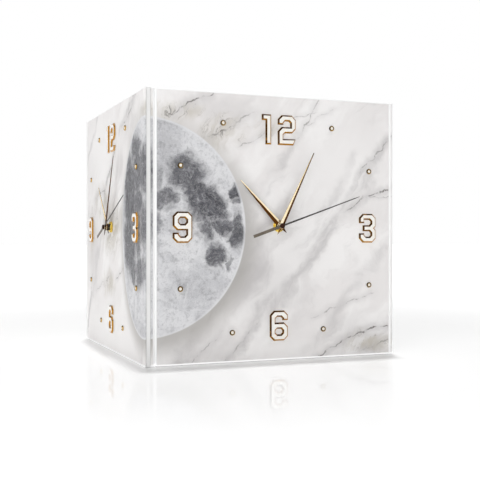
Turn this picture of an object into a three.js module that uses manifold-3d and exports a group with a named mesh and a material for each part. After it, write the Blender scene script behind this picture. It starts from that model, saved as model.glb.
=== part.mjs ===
import * as THREE from 'three';
import { mergeVertices } from 'three/addons/utils/BufferGeometryUtils.js';
import Module from 'manifold-3d';

const wasm = await Module();
wasm.setup();

// A corner wall clock: two square dial panels at a right angle, each with a quartz movement of its own.
// A dial is built in its own frame: x to the right, y into the clock, z up, with the origin in the
// middle of the dial, on the front of its clear sheet. All sizes are in millimetres.

// Clearances
const seatGap = 0.3; // between pieces that rest on each other
const runGap = 0.2; // radial, round a turning shaft
const pressGap = 0.15; // radial, where a hand is pressed on its shaft

// Dial panel
const panelWidth = 300;
const panelHeight = 300;
const sheetThickness = 2;
const sheetChamfer = 0.8;
const grooveInset = 3; // from an upright edge of the sheet to its frosted groove
const grooveWidth = 3;
const grooveDepth = 0.9;
const boardThickness = 4.5;
const hubRise = 2; // from the middle of the panel up to the arbors

// Rear frame, which keeps the board off the wall
const frameDepth = 26;
const railWidth = 14;
const topRailWidth = 30;
const cornerRelief = 1.4; // from the wall plane of one dial to the frame of the other
const keyEntryRadius = 5; // keyhole for a wall screw
const keySlotWidth = 5;
const keySlotRise = 10;
const keyLipThickness = 3;
const keyPocketDepth = 8;
const keyDrop = 20; // from the top of the frame to the middle of the keyhole's entry

// Steel angles inside the corner
const bracketLeg = 22;
const bracketThickness = 1.5;
const bracketHeight = 40;
const bracketInset = 30; // from the top or the bottom of the panel

// Raised numbers
const digitWidth = 22.4;
const digitHeight = 34;
const digitStroke = 7;
const digitChamfer = 4.8;
const digitInnerChamfer = 2;
const digitHook = 11; // how far the hooked ends of 2, 3, 6 and 9 reach
const digitSlant = 3; // on the foot of the 2
const digitTongue = 5; // where the middle bar of the 3 starts
const oneWidth = 11.5;
const oneFlag = 6.8;
const twelveGap = 8.2; // between the digits of 12
const numeralHeight = 2;
const numeralBevel = 1.7;
const numeralInsetAcross = 35.4; // from an upright edge of the panel to the middle of 3 or of 9
const numeralInsetUp = 39; // from the top or the bottom of the panel to the middle of 12 or of 6

// Hands, at the angles of the photograph, clockwise from 12
const hourLength = 70;
const hourHalfWidth = 3.4;
const hourAngle = -43.9;
const minuteLength = 93;
const minuteHalfWidth = 2.9;
const minuteAngle = 26;
const handTail = 11;
const handShoulder = 3; // from the arbor to the widest place of a folded hand
const handEdge = 0.5;
const handRidge = 0.9;
const collarHeight = 1.8;
const collarWall = 1.5;
const handGap = 0.5; // along the arbors, from one hand to the next
const secondLength = 104.7;
const secondAngle = 70.7;
const secondTail = 36.8;
const secondTipWidth = 1;
const secondTailWidth = 3.4;
const secondTailStart = 8; // from the arbor to where the tail has its full width
const secondThickness = 0.6;
const secondHubWall = 2.25;
const secondHubHeight = 2.2;
const secondHubDepth = 1.6; // how far the seconds arbor enters the hub

// Neck, nut and gasket
const neckWall = 1.2;
const neckProud = 1.5; // past the front of the nut
const neckHoleGap = 0.4;
const nutSides = 6;
const nutWall = 2.2; // at the corners
const nutThickness = 3;
const nutFlangeLip = 0.6;
const nutFlangeThickness = 0.7;
const gasketWidth = 4.7;
const gasketThickness = 1;

// Movement case
const caseWall = 1.2;
const caseFrontWall = 1.5;
const coverThickness = 1.5;
const coverRimDepth = 1.2;
const coverRimWall = 1;
const roomGap = 0.7; // from the train to the walls round it
const batteryDiameter = 14.5;
const batteryLength = 50.5;
const batteryButtonRadius = 2.75;
const batteryButtonLength = 1.2;
const batterySideGap = 0.25;
const contactThickness = 0.4;
const contactWidth = 9;
const leafDepth = 1.4; // how far the minus contact bows towards the battery

// Shafts
const secondArborRadius = 0.6;
const minuteArborWall = 0.7;
const hourPipeWall = 0.8;
const wheelArborRadius = 0.6;
const rotorArborRadius = 0.45;
const knobShaftRadius = 1.2;
const changePostRadius = 0.6;
const pivotDepth = 1; // how far a pivot goes into a case wall
const clutchLip = 1.7;
const clutchThickness = 0.3;

// Wheels: the teeth, and the module of each mesh of the train
const rotorLeaves = 6;
const fifthTeeth = 36;
const fifthLeaves = 6;
const secondTeeth = 30;
const secondLeaves = 6;
const thirdTeeth = 48;
const thirdLeaves = 6;
const minuteTeeth = 45;
const cannonLeaves = 8;
const changeTeeth = 24;
const changeLeaves = 8;
const hourTeeth = 32;
const knobLeaves = 8;
const rotorModule = 0.36;
const fifthModule = 0.63;
const thirdModule = 0.45;
const changeModule = 0.6;
const wheelThickness = 1;
const pinionOverhang = 0.2; // of a pinion past each face of the wheel that it drives
const stagePitch = 2; // along the depth, from one layer of wheels to the next
const stageGap = 0.4;
const stageCount = 7;

// Directions between the axes of the wheels, counter-clockwise from x as seen from the front
const thirdDirection = 50;
const fifthDirection = -15;
const rotorDirection = 30;
const changeDirection = 180;
const knobDirection = 120;

// Motor and setting knob
const magnetRadius = 2.8;
const statorGap = 0.5;
const statorArm = 4;
const coilRadius = 2.3;
const coilFlangeLip = 0.5;
const coilFlangeThickness = 1;
const coilCoreHeight = 4;
const coilCoreThickness = 1.2;
const circuitThickness = 1;
const knobRadius = 6.5;
const knobThickness = 3;
const knobRibs = 14;
const knobRibDepth = 0.5;
const knobRib = [[0, 0], [0.5, 0], [0.6, knobRibDepth], [0.9, knobRibDepth]]; // shares of the pitch, depths

// How finely round shapes are cut
const roundSegments = 16;
const shaftSegments = 8;

// From the dial's middle to the middle of a number
const numeralReachAcross = panelWidth / 2 - numeralInsetAcross;
const numeralReachUp = panelHeight / 2 - numeralInsetUp;

// Radii of what turns or sits inside what, from the seconds arbor outwards
const minuteArborRadius = secondArborRadius + runGap + minuteArborWall;
const hourPipeRadius = minuteArborRadius + runGap + hourPipeWall;
const neckRadius = hourPipeRadius + runGap + neckWall;
const neckHoleRadius = neckRadius + neckHoleGap;
const nutRadius = neckRadius + runGap + nutWall;
const nutFlangeRadius = nutRadius + nutFlangeLip;
const gasketRadius = neckHoleRadius + gasketWidth;
const secondHubRadius = secondArborRadius + pressGap + secondHubWall;
const clutchRadius = minuteArborRadius + clutchLip;
const coilFlangeRadius = coilRadius + coilFlangeLip;

// Depths, from the front of the sheet inwards
const boardFront = sheetThickness + seatGap;
const boardBack = boardFront + boardThickness;
const frameFront = boardBack + seatGap;
const wallPlane = frameFront + frameDepth;
const gasketFront = boardBack + seatGap;
const gasketBack = gasketFront + gasketThickness;
const caseFront = gasketBack + seatGap;
const roomFront = caseFront + caseFrontWall;
const motorDepth = stageGap + (stageCount - 1) * stagePitch;
const coilDepth = motorDepth - seatGap - coilCoreThickness / 2;
const roomDepth = Math.max(motorDepth + wheelThickness, coilDepth + coilFlangeRadius) + roomGap;
const caseRim = roomFront + roomDepth;
const coverFront = caseRim + seatGap;
const coverBack = coverFront + coverThickness;

// Depths of what stands out of the sheet, from its front outwards
const nutBack = -seatGap;
const nutFront = nutBack - nutThickness;
const neckFront = nutFront - neckProud;
const hourBack = neckFront - handGap;
const minuteBack = hourBack - collarHeight - handGap;
const secondBack = minuteBack - collarHeight - handGap;
const hubFront = secondBack - secondHubHeight;

// Each layer of wheels, from the dial backwards
const hourStage = 0;
const changeStage = 1;
const minuteStage = 2;
const thirdStage = 3;
const secondStage = 4;
const fifthStage = 5;
const motorStage = 6;

// Centre distances, and the modules of the meshes that share them
const thirdDistance = thirdModule * (thirdLeaves + minuteTeeth) / 2;
const secondModule = 2 * thirdDistance / (secondLeaves + thirdTeeth);
const fifthDistance = fifthModule * (fifthLeaves + secondTeeth) / 2;
const rotorDistance = rotorModule * (rotorLeaves + fifthTeeth) / 2;
const changeDistance = changeModule * (cannonLeaves + changeTeeth) / 2;
const hourModule = 2 * changeDistance / (changeLeaves + hourTeeth);
const knobDistance = changeModule * (knobLeaves + changeTeeth) / 2;

// Tooth shape: heights in modules, and the corners of a tooth as shares of the pitch with their heights
const wheelAddendum = 1;
const wheelDedendum = 1.5;
const leafAddendum = 0.7;
const leafDedendum = 1.3;
const leafTipShare = 0.18;
const leafRootShare = 0.4;
const wheelGapShare = 0.5;
const wheelTooth = [[0, wheelAddendum], [wheelGapShare, -wheelDedendum]];
const leafTooth = [
  [-leafRootShare / 2, -leafDedendum], [-leafTipShare / 2, leafAddendum],
  [leafTipShare / 2, leafAddendum], [leafRootShare / 2, -leafDedendum],
];

const radians = THREE.MathUtils.degToRad;

// The place at a distance and in a direction from another place of the dial plane
function offset(from, distance, direction) {
  const angle = radians(direction);
  return { x: from.x + distance * Math.cos(angle), z: from.z + distance * Math.sin(angle) };
}

// The angle of the line from one place to another
function bearing(from, to) {
  return Math.atan2(to.z - from.z, to.x - from.x);
}

const middle = { x: 0, z: 0 };
const hub = { x: 0, z: hubRise };
const thirdAxis = offset(middle, thirdDistance, thirdDirection);
const fifthAxis = offset(middle, fifthDistance, fifthDirection);
const rotorAxis = offset(fifthAxis, rotorDistance, rotorDirection);
const changeAxis = offset(middle, changeDistance, changeDirection);
const knobAxis = offset(changeAxis, knobDistance, knobDirection);

// Reach of the train, which the case goes round
const thirdTip = secondModule * (thirdTeeth / 2 + wheelAddendum);
const fifthTip = rotorModule * (fifthTeeth / 2 + wheelAddendum);
const minuteTip = thirdModule * (minuteTeeth / 2 + wheelAddendum);
const coilLevel = thirdAxis.z + thirdTip + roomGap + coilFlangeRadius;
const roomTop = coilLevel + coilFlangeRadius + coverRimWall + roomGap;
const roomBottom = Math.min(fifthAxis.z - fifthTip, -minuteTip) - roomGap;
const statorHole = magnetRadius + statorGap;
const statorRight = rotorAxis.x + statorHole + statorArm;
const statorLeft = knobAxis.x - knobShaftRadius - roomGap - statorArm;
const bayLength = batteryLength + 2 * seatGap + 2 * contactThickness + leafDepth;
const roomHalfWidth = Math.max(bayLength / 2, statorRight + roomGap);
const bayTop = roomBottom - caseWall;
const batteryLevel = bayTop - batterySideGap - batteryDiameter / 2;
const bayBottom = batteryLevel - batteryDiameter / 2 - batterySideGap;
const caseOuter = {
  left: -roomHalfWidth - caseWall,
  right: roomHalfWidth + caseWall,
  bottom: bayBottom - caseWall,
  top: roomTop + caseWall,
};

// A closed solid from a three.js geometry, without the empty triangles at a pole
function solid(geometry) {
  const bare = new THREE.BufferGeometry();
  bare.setAttribute('position', geometry.getAttribute('position').clone());
  bare.setIndex(geometry.index);
  const merged = mergeVertices(bare);
  const corners = Array.from(merged.index.array);
  const triangles = [];
  for (let i = 0; i < corners.length; i += 3) {
    const [a, b, c] = corners.slice(i, i + 3);
    if (a !== b && b !== c && c !== a) {
      triangles.push(a, b, c);
    }
  }
  const vertProperties = new Float32Array(merged.getAttribute('position').array);
  const triVerts = new Uint32Array(triangles);
  return new wasm.Manifold(new wasm.Mesh({ numProp: 3, vertProperties, triVerts }));
}

// A three.js geometry from a solid
function geometryOf(body) {
  const { vertProperties, triVerts } = body.getMesh();
  const geometry = new THREE.BufferGeometry();
  geometry.setAttribute('position', new THREE.BufferAttribute(vertProperties, 3));
  geometry.setIndex(new THREE.BufferAttribute(triVerts, 1));
  return geometry;
}

function rectangle(left, right, bottom, top) {
  const outline = new THREE.Shape();
  outline.moveTo(left, bottom);
  outline.lineTo(right, bottom);
  outline.lineTo(right, top);
  outline.lineTo(left, top);
  outline.closePath();
  return outline;
}

function polygon(points) {
  return new THREE.Shape(points.map(([x, z]) => new THREE.Vector2(x, z)));
}

function circle(radius, at = middle) {
  return new THREE.Shape().absarc(at.x, at.z, radius, 0, 2 * Math.PI);
}

// An outline of the dial plane, thick from front to back, its front edges bevelled
function layer(outline, front, back, bevel = 0, segments = roundSegments) {
  const geometry = new THREE.ExtrudeGeometry(outline, {
    depth: back - front - bevel,
    curveSegments: segments / 2,
    bevelEnabled: bevel > 0,
    bevelThickness: bevel,
    bevelSize: bevel,
    bevelOffset: -bevel,
    bevelSegments: 1,
  });
  geometry.rotateX(Math.PI / 2);
  geometry.translate(0, back, 0);
  if (bevel === 0) {
    return solid(geometry);
  }
  geometry.computeBoundingBox();
  const { min, max } = geometry.boundingBox;
  const behind = block(min.x - bevel, max.x + bevel, back, back + 2 * bevel, min.z - bevel, max.z + bevel);
  return solid(geometry).subtract(behind);
}

function block(left, right, front, back, bottom, top) {
  const geometry = new THREE.BoxGeometry(right - left, back - front, top - bottom);
  geometry.translate((left + right) / 2, (front + back) / 2, (bottom + top) / 2);
  return solid(geometry);
}

// A round bar along the depth
function rod(radius, front, back, at = middle, segments = shaftSegments) {
  const geometry = new THREE.CylinderGeometry(radius, radius, back - front, segments);
  geometry.translate(at.x, (front + back) / 2, at.z);
  return solid(geometry);
}

// The outline of a toothed wheel, with the middle of a tooth at the angle of its phase
function gearOutline(teeth, module, tooth, phase, at) {
  const pitch = 2 * Math.PI / teeth;
  const points = [];
  for (let i = 0; i < teeth; i += 1) {
    for (const [share, height] of tooth) {
      const turn = phase + (i + share) * pitch;
      const radius = module * (teeth / 2 + height);
      points.push([at.x + radius * Math.cos(turn), at.z + radius * Math.sin(turn)]);
    }
  }
  return polygon(points);
}

// A wheel one stage thick, with a gap between its teeth towards the pinion that it meets
function wheel(teeth, module, stage, at, partner) {
  const phase = bearing(at, partner) + Math.PI / teeth;
  const front = stageFront(stage);
  return layer(gearOutline(teeth, module, wheelTooth, phase, at), front, front + wheelThickness);
}

// A pinion a little thicker than the wheel that it meets, with a leaf in that wheel's gap
function pinion(leaves, module, stage, at, partner, phase = bearing(at, partner)) {
  const front = stageFront(stage) - pinionOverhang;
  const back = stageFront(stage) + wheelThickness + pinionOverhang;
  return layer(gearOutline(leaves, module, leafTooth, phase, at), front, back);
}

function stageFront(stage) {
  return roomFront + stageGap + stage * stagePitch;
}

function stageBack(stage) {
  return stageFront(stage) + wheelThickness;
}

// An arbor with its pivots in the front wall of the case and in the cover
function arbor(radius, at) {
  return rod(radius, roomFront - pivotDepth, coverFront + pivotDepth, at);
}

// Panel pieces

function faceSheet() {
  const outline = rectangle(-panelWidth / 2, panelWidth / 2, -panelHeight / 2, panelHeight / 2);
  outline.holes.push(circle(neckHoleRadius, hub));
  let sheet = layer(outline, 0, sheetThickness, sheetChamfer);
  for (const side of [-1, 1]) {
    const grooveMiddle = side * (panelWidth / 2 - grooveInset - grooveWidth / 2);
    const section = new THREE.Shape();
    section.moveTo(grooveMiddle - grooveWidth, -grooveDepth);
    section.lineTo(grooveMiddle + grooveWidth, -grooveDepth);
    section.lineTo(grooveMiddle, grooveDepth);
    section.closePath();
    const cutter = new THREE.ExtrudeGeometry(section, { depth: 2 * panelHeight, bevelEnabled: false });
    cutter.translate(0, 0, -panelHeight);
    sheet = sheet.subtract(solid(cutter));
  }
  return sheet;
}

function backBoard() {
  const outline = rectangle(-panelWidth / 2, panelWidth / 2, -panelHeight / 2, panelHeight / 2);
  outline.holes.push(circle(neckHoleRadius, hub));
  return layer(outline, boardFront, boardBack);
}

// How far a dial's own corner edge lies from the faces of the frame's near upright
function frameInset(cornerSide) {
  const edgeFromCorner = cornerSide < 0 ? frameFront : 0;
  return wallPlane + cornerRelief - edgeFromCorner;
}

function rearFrame(cornerSide) {
  const near = panelWidth / 2 - frameInset(cornerSide);
  const far = panelWidth / 2;
  const left = cornerSide < 0 ? -near : -far;
  const right = cornerSide < 0 ? far : near;
  const bottom = -panelHeight / 2;
  const top = panelHeight / 2;
  const outline = rectangle(left, right, bottom, top);
  const opening = rectangle(left + railWidth, right - railWidth, bottom + railWidth, top - topRailWidth);
  outline.holes.push(opening);
  const entry = { x: 0, z: top - keyDrop };
  const slotTop = entry.z + keySlotRise;
  const half = keySlotWidth / 2;
  const lip = wallPlane - keyLipThickness;
  const pocket = wallPlane - keyPocketDepth;
  const past = wallPlane + keyPocketDepth;
  const end = { x: 0, z: slotTop };
  return layer(outline, frameFront, wallPlane)
    .subtract(rod(keyEntryRadius, pocket, past, entry, roundSegments))
    .subtract(block(-half, half, lip - half, past, entry.z, slotTop))
    .subtract(rod(half, lip - half, past, end))
    .subtract(block(-keyEntryRadius, keyEntryRadius, pocket, lip, entry.z, slotTop))
    .subtract(rod(keyEntryRadius, pocket, lip, end, roundSegments));
}

// Raised numbers, each drawn from its lower left corner

function oneOutline() {
  const stem = oneWidth - digitStroke;
  return [
    [stem, 0], [oneWidth, 0], [oneWidth, digitHeight], [0, digitHeight],
    [0, digitHeight - oneFlag], [stem, digitHeight - oneFlag],
  ];
}

// Edges that the digits 2, 3, 6 and 9 share
const inner = {
  left: digitStroke,
  right: digitWidth - digitStroke,
  bottom: digitStroke,
  top: digitHeight - digitStroke,
  barLow: (digitHeight - digitStroke) / 2,
  barHigh: (digitHeight + digitStroke) / 2,
};

function twoOutline() {
  const cut = digitChamfer;
  const small = digitInnerChamfer;
  return [
    [0, 0], [digitWidth - digitSlant, 0], [digitWidth, inner.bottom],
    [inner.left, inner.bottom], [inner.left, inner.barLow - small], [inner.left + small, inner.barLow],
    [digitWidth - cut, inner.barLow], [digitWidth, inner.barLow + cut],
    [digitWidth, digitHeight - cut], [digitWidth - cut, digitHeight],
    [cut, digitHeight], [0, digitHeight - cut], [0, digitHeight - digitHook],
    [inner.left, digitHeight - digitHook], [inner.left, inner.top - small], [inner.left + small, inner.top],
    [inner.right - small, inner.top], [inner.right, inner.top - small],
    [inner.right, inner.barHigh], [cut, inner.barHigh], [0, inner.barHigh - cut],
  ];
}

function threeOutline() {
  const cut = digitChamfer;
  const small = digitInnerChamfer;
  const waist = digitHeight / 2;
  return [
    [cut, 0], [digitWidth - cut, 0], [digitWidth, cut], [digitWidth, waist - small],
    [digitWidth - small, waist], [digitWidth, waist + small], [digitWidth, digitHeight - cut],
    [digitWidth - cut, digitHeight], [cut, digitHeight], [0, digitHeight - cut],
    [0, digitHeight - digitHook], [inner.left, digitHeight - digitHook], [inner.left, inner.top],
    [inner.right - small, inner.top], [inner.right, inner.top - small],
    [inner.right, inner.barHigh + small], [inner.right - small, inner.barHigh],
    [digitTongue, inner.barHigh], [digitTongue, inner.barLow],
    [inner.right - small, inner.barLow], [inner.right, inner.barLow - small],
    [inner.right, inner.bottom + small], [inner.right - small, inner.bottom],
    [inner.left + small, inner.bottom], [inner.left, inner.bottom + small],
    [inner.left, digitHook], [0, digitHook], [0, cut],
  ];
}

function sixOutline() {
  const cut = digitChamfer;
  const small = digitInnerChamfer;
  return [
    [cut, 0], [digitWidth - cut, 0], [digitWidth, cut], [digitWidth, inner.barHigh - cut],
    [digitWidth - cut, inner.barHigh], [inner.left, inner.barHigh],
    [inner.left, inner.top - small], [inner.left + small, inner.top],
    [inner.right - small, inner.top], [inner.right, inner.top - small],
    [inner.right, digitHeight - digitHook], [digitWidth, digitHeight - digitHook],
    [digitWidth, digitHeight - cut], [digitWidth - cut, digitHeight],
    [cut, digitHeight], [0, digitHeight - cut], [0, cut],
  ];
}

function sixEye() {
  const small = digitInnerChamfer;
  return [
    [inner.left + small, inner.bottom], [inner.right - small, inner.bottom],
    [inner.right, inner.bottom + small], [inner.right, inner.barLow - small],
    [inner.right - small, inner.barLow], [inner.left + small, inner.barLow],
    [inner.left, inner.barLow - small], [inner.left, inner.bottom + small],
  ];
}

// The 9 is a 6 turned upside down
function upsideDown(points) {
  return points.map(([x, z]) => [digitWidth - x, digitHeight - z]);
}

// A digit on the sheet, its lower left corner at a place of the dial
function numeral(points, left, bottom, eye = []) {
  const place = ([x, z]) => [left + x, bottom + z];
  const outline = polygon(points.map(place));
  if (eye.length > 0) {
    outline.holes.push(polygon(eye.map(place)));
  }
  return layer(outline, -seatGap - numeralHeight, -seatGap, numeralBevel);
}

function numerals() {
  const low = -digitHeight / 2;
  const twelveLeft = -(oneWidth + twelveGap + digitWidth) / 2;
  const centred = -digitWidth / 2;
  return {
    numeral_one: numeral(oneOutline(), twelveLeft, numeralReachUp + low),
    numeral_two: numeral(twoOutline(), twelveLeft + oneWidth + twelveGap, numeralReachUp + low),
    numeral_three: numeral(threeOutline(), numeralReachAcross + centred, low),
    numeral_six: numeral(sixOutline(), centred, low - numeralReachUp, sixEye()),
    numeral_nine: numeral(upsideDown(sixOutline()), centred - numeralReachAcross, low, upsideDown(sixEye())),
  };
}

// Hands, drawn pointing to 12

// A blade folded along its length: a flat back, a thin rim and facets that rise to a point over the arbor
function foldedBlade(length, halfWidth, back) {
  const rim = [[0, length], [-halfWidth, handShoulder], [0, -handTail], [halfWidth, handShoulder]];
  const edge = back - handEdge;
  const hollow = [0, back, 0];
  const peak = [0, edge - handRidge, 0];
  const corners = [];
  rim.forEach(([x, z], i) => {
    const [nextX, nextZ] = rim[(i + 1) % rim.length];
    const behind = [x, back, z];
    const nextBehind = [nextX, back, nextZ];
    const ahead = [x, edge, z];
    const nextAhead = [nextX, edge, nextZ];
    corners.push(...peak, ...ahead, ...nextAhead);
    corners.push(...hollow, ...nextBehind, ...behind);
    corners.push(...ahead, ...behind, ...nextBehind);
    corners.push(...ahead, ...nextBehind, ...nextAhead);
  });
  const geometry = new THREE.BufferGeometry();
  geometry.setAttribute('position', new THREE.Float32BufferAttribute(corners, 3));
  return solid(geometry);
}

function foldedHand(length, halfWidth, back, shaftRadius) {
  const bore = shaftRadius + pressGap;
  const front = back - collarHeight;
  return foldedBlade(length, halfWidth, back)
    .add(rod(bore + collarWall, front, back, middle, roundSegments))
    .subtract(rod(bore, front - collarHeight, back + collarHeight, middle, roundSegments));
}

function secondHand() {
  const needle = polygon([
    [-secondTailWidth / 2, -secondTail], [secondTailWidth / 2, -secondTail],
    [secondTailWidth / 2, -secondTailStart], [secondTipWidth, 0], [secondTipWidth / 2, secondLength],
    [-secondTipWidth / 2, secondLength], [-secondTipWidth, 0], [-secondTailWidth / 2, -secondTailStart],
  ]);
  return layer(needle, secondBack - secondThickness, secondBack)
    .add(rod(secondHubRadius, hubFront, secondBack, middle, roundSegments))
    .subtract(rod(secondArborRadius + pressGap, secondBack - secondHubDepth, secondBack + secondHubHeight));
}

// Neck, nut and gasket

function lockNut() {
  const hexagon = rod(nutRadius, nutFront, nutBack, middle, nutSides);
  const flange = rod(nutFlangeRadius, nutBack - nutFlangeThickness, nutBack, middle, roundSegments);
  const bore = neckRadius + runGap;
  const hole = rod(bore, nutFront - nutThickness, nutBack + nutThickness, middle, roundSegments);
  return hexagon.add(flange).subtract(hole);
}

function gasket() {
  const outline = circle(gasketRadius);
  outline.holes.push(circle(neckHoleRadius));
  return layer(outline, gasketFront, gasketBack);
}

// Movement

const pivots = [
  { at: thirdAxis, radius: wheelArborRadius },
  { at: fifthAxis, radius: wheelArborRadius },
  { at: rotorAxis, radius: rotorArborRadius },
  { at: knobAxis, radius: knobShaftRadius },
];

function movementCase() {
  const { left, right, bottom, top } = caseOuter;
  const plate = rectangle(left, right, bottom, top);
  for (const { at, radius } of pivots) {
    plate.holes.push(circle(radius + runGap, at));
  }
  const walls = rectangle(left, right, bottom, top);
  walls.holes.push(rectangle(-roomHalfWidth, roomHalfWidth, roomBottom, roomTop));
  walls.holes.push(rectangle(-bayLength / 2, bayLength / 2, bayBottom, bayTop));
  const postBack = stageBack(changeStage) + pinionOverhang;
  const overlap = caseFrontWall / 2;
  const bore = hourPipeRadius + runGap;
  return layer(plate, caseFront, roomFront, 0, shaftSegments)
    .add(layer(walls, roomFront - overlap, caseRim))
    .add(rod(neckRadius, neckFront, caseFront + overlap, middle, roundSegments))
    .add(rod(changePostRadius, roomFront - overlap, postBack, changeAxis))
    .subtract(rod(bore, neckFront - neckRadius, roomFront + overlap, middle, roundSegments));
}

function movementCover() {
  const { left, right, top } = caseOuter;
  const plate = rectangle(left, right, bayTop, top);
  plate.holes.push(circle(secondArborRadius + runGap));
  for (const { at, radius } of pivots) {
    plate.holes.push(circle(radius + runGap, at));
  }
  const reach = roomHalfWidth - seatGap;
  const low = roomBottom + seatGap;
  const high = roomTop - seatGap;
  const rim = rectangle(-reach, reach, low, high);
  const open = reach - coverRimWall;
  rim.holes.push(rectangle(-open, open, low + coverRimWall, high - coverRimWall));
  return layer(plate, coverFront, coverBack, 0, shaftSegments)
    .add(layer(rim, caseRim - coverRimDepth, coverFront + coverThickness / 2));
}

// The battery lies across the bay, its button to the right
const batteryRight = bayLength / 2 - contactThickness - 2 * seatGap;
const batteryLeft = batteryRight - batteryLength;
const batteryDepth = roomFront + seatGap + batteryDiameter / 2;

function battery() {
  const radius = batteryDiameter / 2;
  const canLength = batteryLength - batteryButtonLength;
  const can = new THREE.CylinderGeometry(radius, radius, canLength, roundSegments);
  can.translate(0, canLength / 2, 0);
  const button = new THREE.CylinderGeometry(
    batteryButtonRadius, batteryButtonRadius, 2 * batteryButtonLength, shaftSegments);
  button.translate(0, canLength, 0);
  for (const geometry of [can, button]) {
    geometry.rotateZ(-Math.PI / 2);
    geometry.translate(batteryLeft, batteryDepth, batteryLevel);
  }
  return solid(can).add(solid(button));
}

function batteryPlate() {
  const back = bayLength / 2 - seatGap;
  const half = contactWidth / 2;
  return block(back - contactThickness, back, batteryDepth - half, batteryDepth + half,
    batteryLevel - half, batteryLevel + half);
}

// A springy strip that bows from the wall of the bay to the battery's flat end
function batteryLeaf() {
  const wallSide = -bayLength / 2 + seatGap;
  const crown = batteryLeft - seatGap;
  const half = contactWidth / 2;
  const section = polygon([
    [wallSide, batteryLevel - half], [crown, batteryLevel], [wallSide, batteryLevel + half],
    [wallSide - contactThickness / 2, batteryLevel + half],
    [crown - contactThickness, batteryLevel],
    [wallSide - contactThickness / 2, batteryLevel - half],
  ]);
  return layer(section, batteryDepth - half, batteryDepth + half);
}

function stator() {
  const high = roomTop - roomGap;
  const shelf = thirdAxis.z + wheelArborRadius + roomGap;
  const low = rotorAxis.z - statorHole - statorArm;
  const legLeft = rotorAxis.x - statorHole - statorGap;
  const armBottom = statorRight - statorArm;
  const outline = polygon([
    [legLeft, low], [statorRight, low], [statorRight, high], [armBottom, high],
    [armBottom, shelf], [legLeft + statorArm, rotorAxis.z + statorHole + statorGap],
    [legLeft + statorArm, shelf + statorArm], [statorLeft + statorArm, shelf + statorArm],
    [statorLeft + statorArm, high], [statorLeft, high], [statorLeft, shelf], [legLeft, shelf],
  ]);
  outline.holes.push(circle(statorHole, rotorAxis));
  return layer(outline, stageFront(motorStage), stageBack(motorStage));
}

// The coil's core lies on both arms of the stator, and its circuit board stands at the left end
function coilBoard() {
  const axisDepth = roomFront + coilDepth;
  const coreFront = axisDepth - coilCoreThickness / 2;
  const coreBack = axisDepth + coilCoreThickness / 2;
  const windLeft = statorLeft + statorArm + seatGap + coilFlangeThickness;
  const windRight = statorRight - statorArm - seatGap - coilFlangeThickness;
  const half = coilCoreHeight / 2;
  const alongCoil = (radius, from, to) => {
    const geometry = new THREE.CylinderGeometry(radius, radius, to - from, roundSegments);
    geometry.rotateZ(Math.PI / 2);
    geometry.translate((from + to) / 2, axisDepth, coilLevel);
    return solid(geometry);
  };
  const board = block(statorLeft, windLeft, coreFront - circuitThickness, coreFront + coilCoreThickness / 2,
    coilLevel - coilFlangeRadius, coilLevel + coilFlangeRadius);
  return block(statorLeft, statorRight, coreFront, coreBack, coilLevel - half, coilLevel + half)
    .add(alongCoil(coilRadius, windLeft, windRight))
    .add(alongCoil(coilFlangeRadius, windLeft - coilFlangeThickness, windLeft))
    .add(alongCoil(coilFlangeRadius, windRight, windRight + coilFlangeThickness))
    .add(board);
}

function rotor() {
  return arbor(rotorArborRadius, rotorAxis)
    .add(pinion(rotorLeaves, rotorModule, fifthStage, rotorAxis, fifthAxis))
    .add(rod(magnetRadius, stageFront(motorStage), stageBack(motorStage), rotorAxis, roundSegments));
}

function fifthWheel() {
  return arbor(wheelArborRadius, fifthAxis)
    .add(wheel(fifthTeeth, rotorModule, fifthStage, fifthAxis, rotorAxis))
    .add(pinion(fifthLeaves, fifthModule, secondStage, fifthAxis, middle));
}

function secondWheel() {
  const front = secondBack - secondHubDepth + seatGap;
  return rod(secondArborRadius, front, coverFront + pivotDepth)
    .add(wheel(secondTeeth, fifthModule, secondStage, middle, fifthAxis))
    .add(pinion(secondLeaves, secondModule, thirdStage, middle, thirdAxis));
}

function thirdWheel() {
  return arbor(wheelArborRadius, thirdAxis)
    .add(wheel(thirdTeeth, secondModule, thirdStage, thirdAxis, middle))
    .add(pinion(thirdLeaves, thirdModule, minuteStage, thirdAxis, middle));
}

// Rides on the minute arbor and drives it by friction, so that the hands can be set
function minuteWheel() {
  const bore = rod(minuteArborRadius + runGap, roomFront, caseRim, middle, roundSegments);
  return wheel(minuteTeeth, thirdModule, minuteStage, middle, thirdAxis).subtract(bore);
}

function minuteArbor() {
  const front = minuteBack - collarHeight;
  const back = stageBack(minuteStage) + seatGap;
  const clutchBack = stageFront(minuteStage) - seatGap;
  return rod(minuteArborRadius, front, back, middle, roundSegments)
    .add(pinion(cannonLeaves, changeModule, changeStage, middle, changeAxis))
    .add(rod(clutchRadius, clutchBack - clutchThickness, clutchBack, middle, roundSegments))
    .subtract(rod(secondArborRadius + runGap, front - collarHeight, back + collarHeight));
}

function changeWheel() {
  const front = stageFront(hourStage) - pinionOverhang;
  const back = stageBack(changeStage);
  const hubRadius = changePostRadius + 2 * runGap;
  return wheel(changeTeeth, changeModule, changeStage, changeAxis, middle)
    .add(rod(hubRadius, front, back, changeAxis))
    .add(pinion(changeLeaves, hourModule, hourStage, changeAxis, middle))
    .subtract(rod(changePostRadius + runGap, roomFront, caseRim, changeAxis));
}

function hourWheel() {
  const front = hourBack - collarHeight;
  const back = stageBack(hourStage);
  const bore = minuteArborRadius + runGap;
  return rod(hourPipeRadius, front, back, middle, roundSegments)
    .add(wheel(hourTeeth, hourModule, hourStage, middle, changeAxis))
    .subtract(rod(bore, front - collarHeight, back + collarHeight, middle, roundSegments));
}

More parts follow.
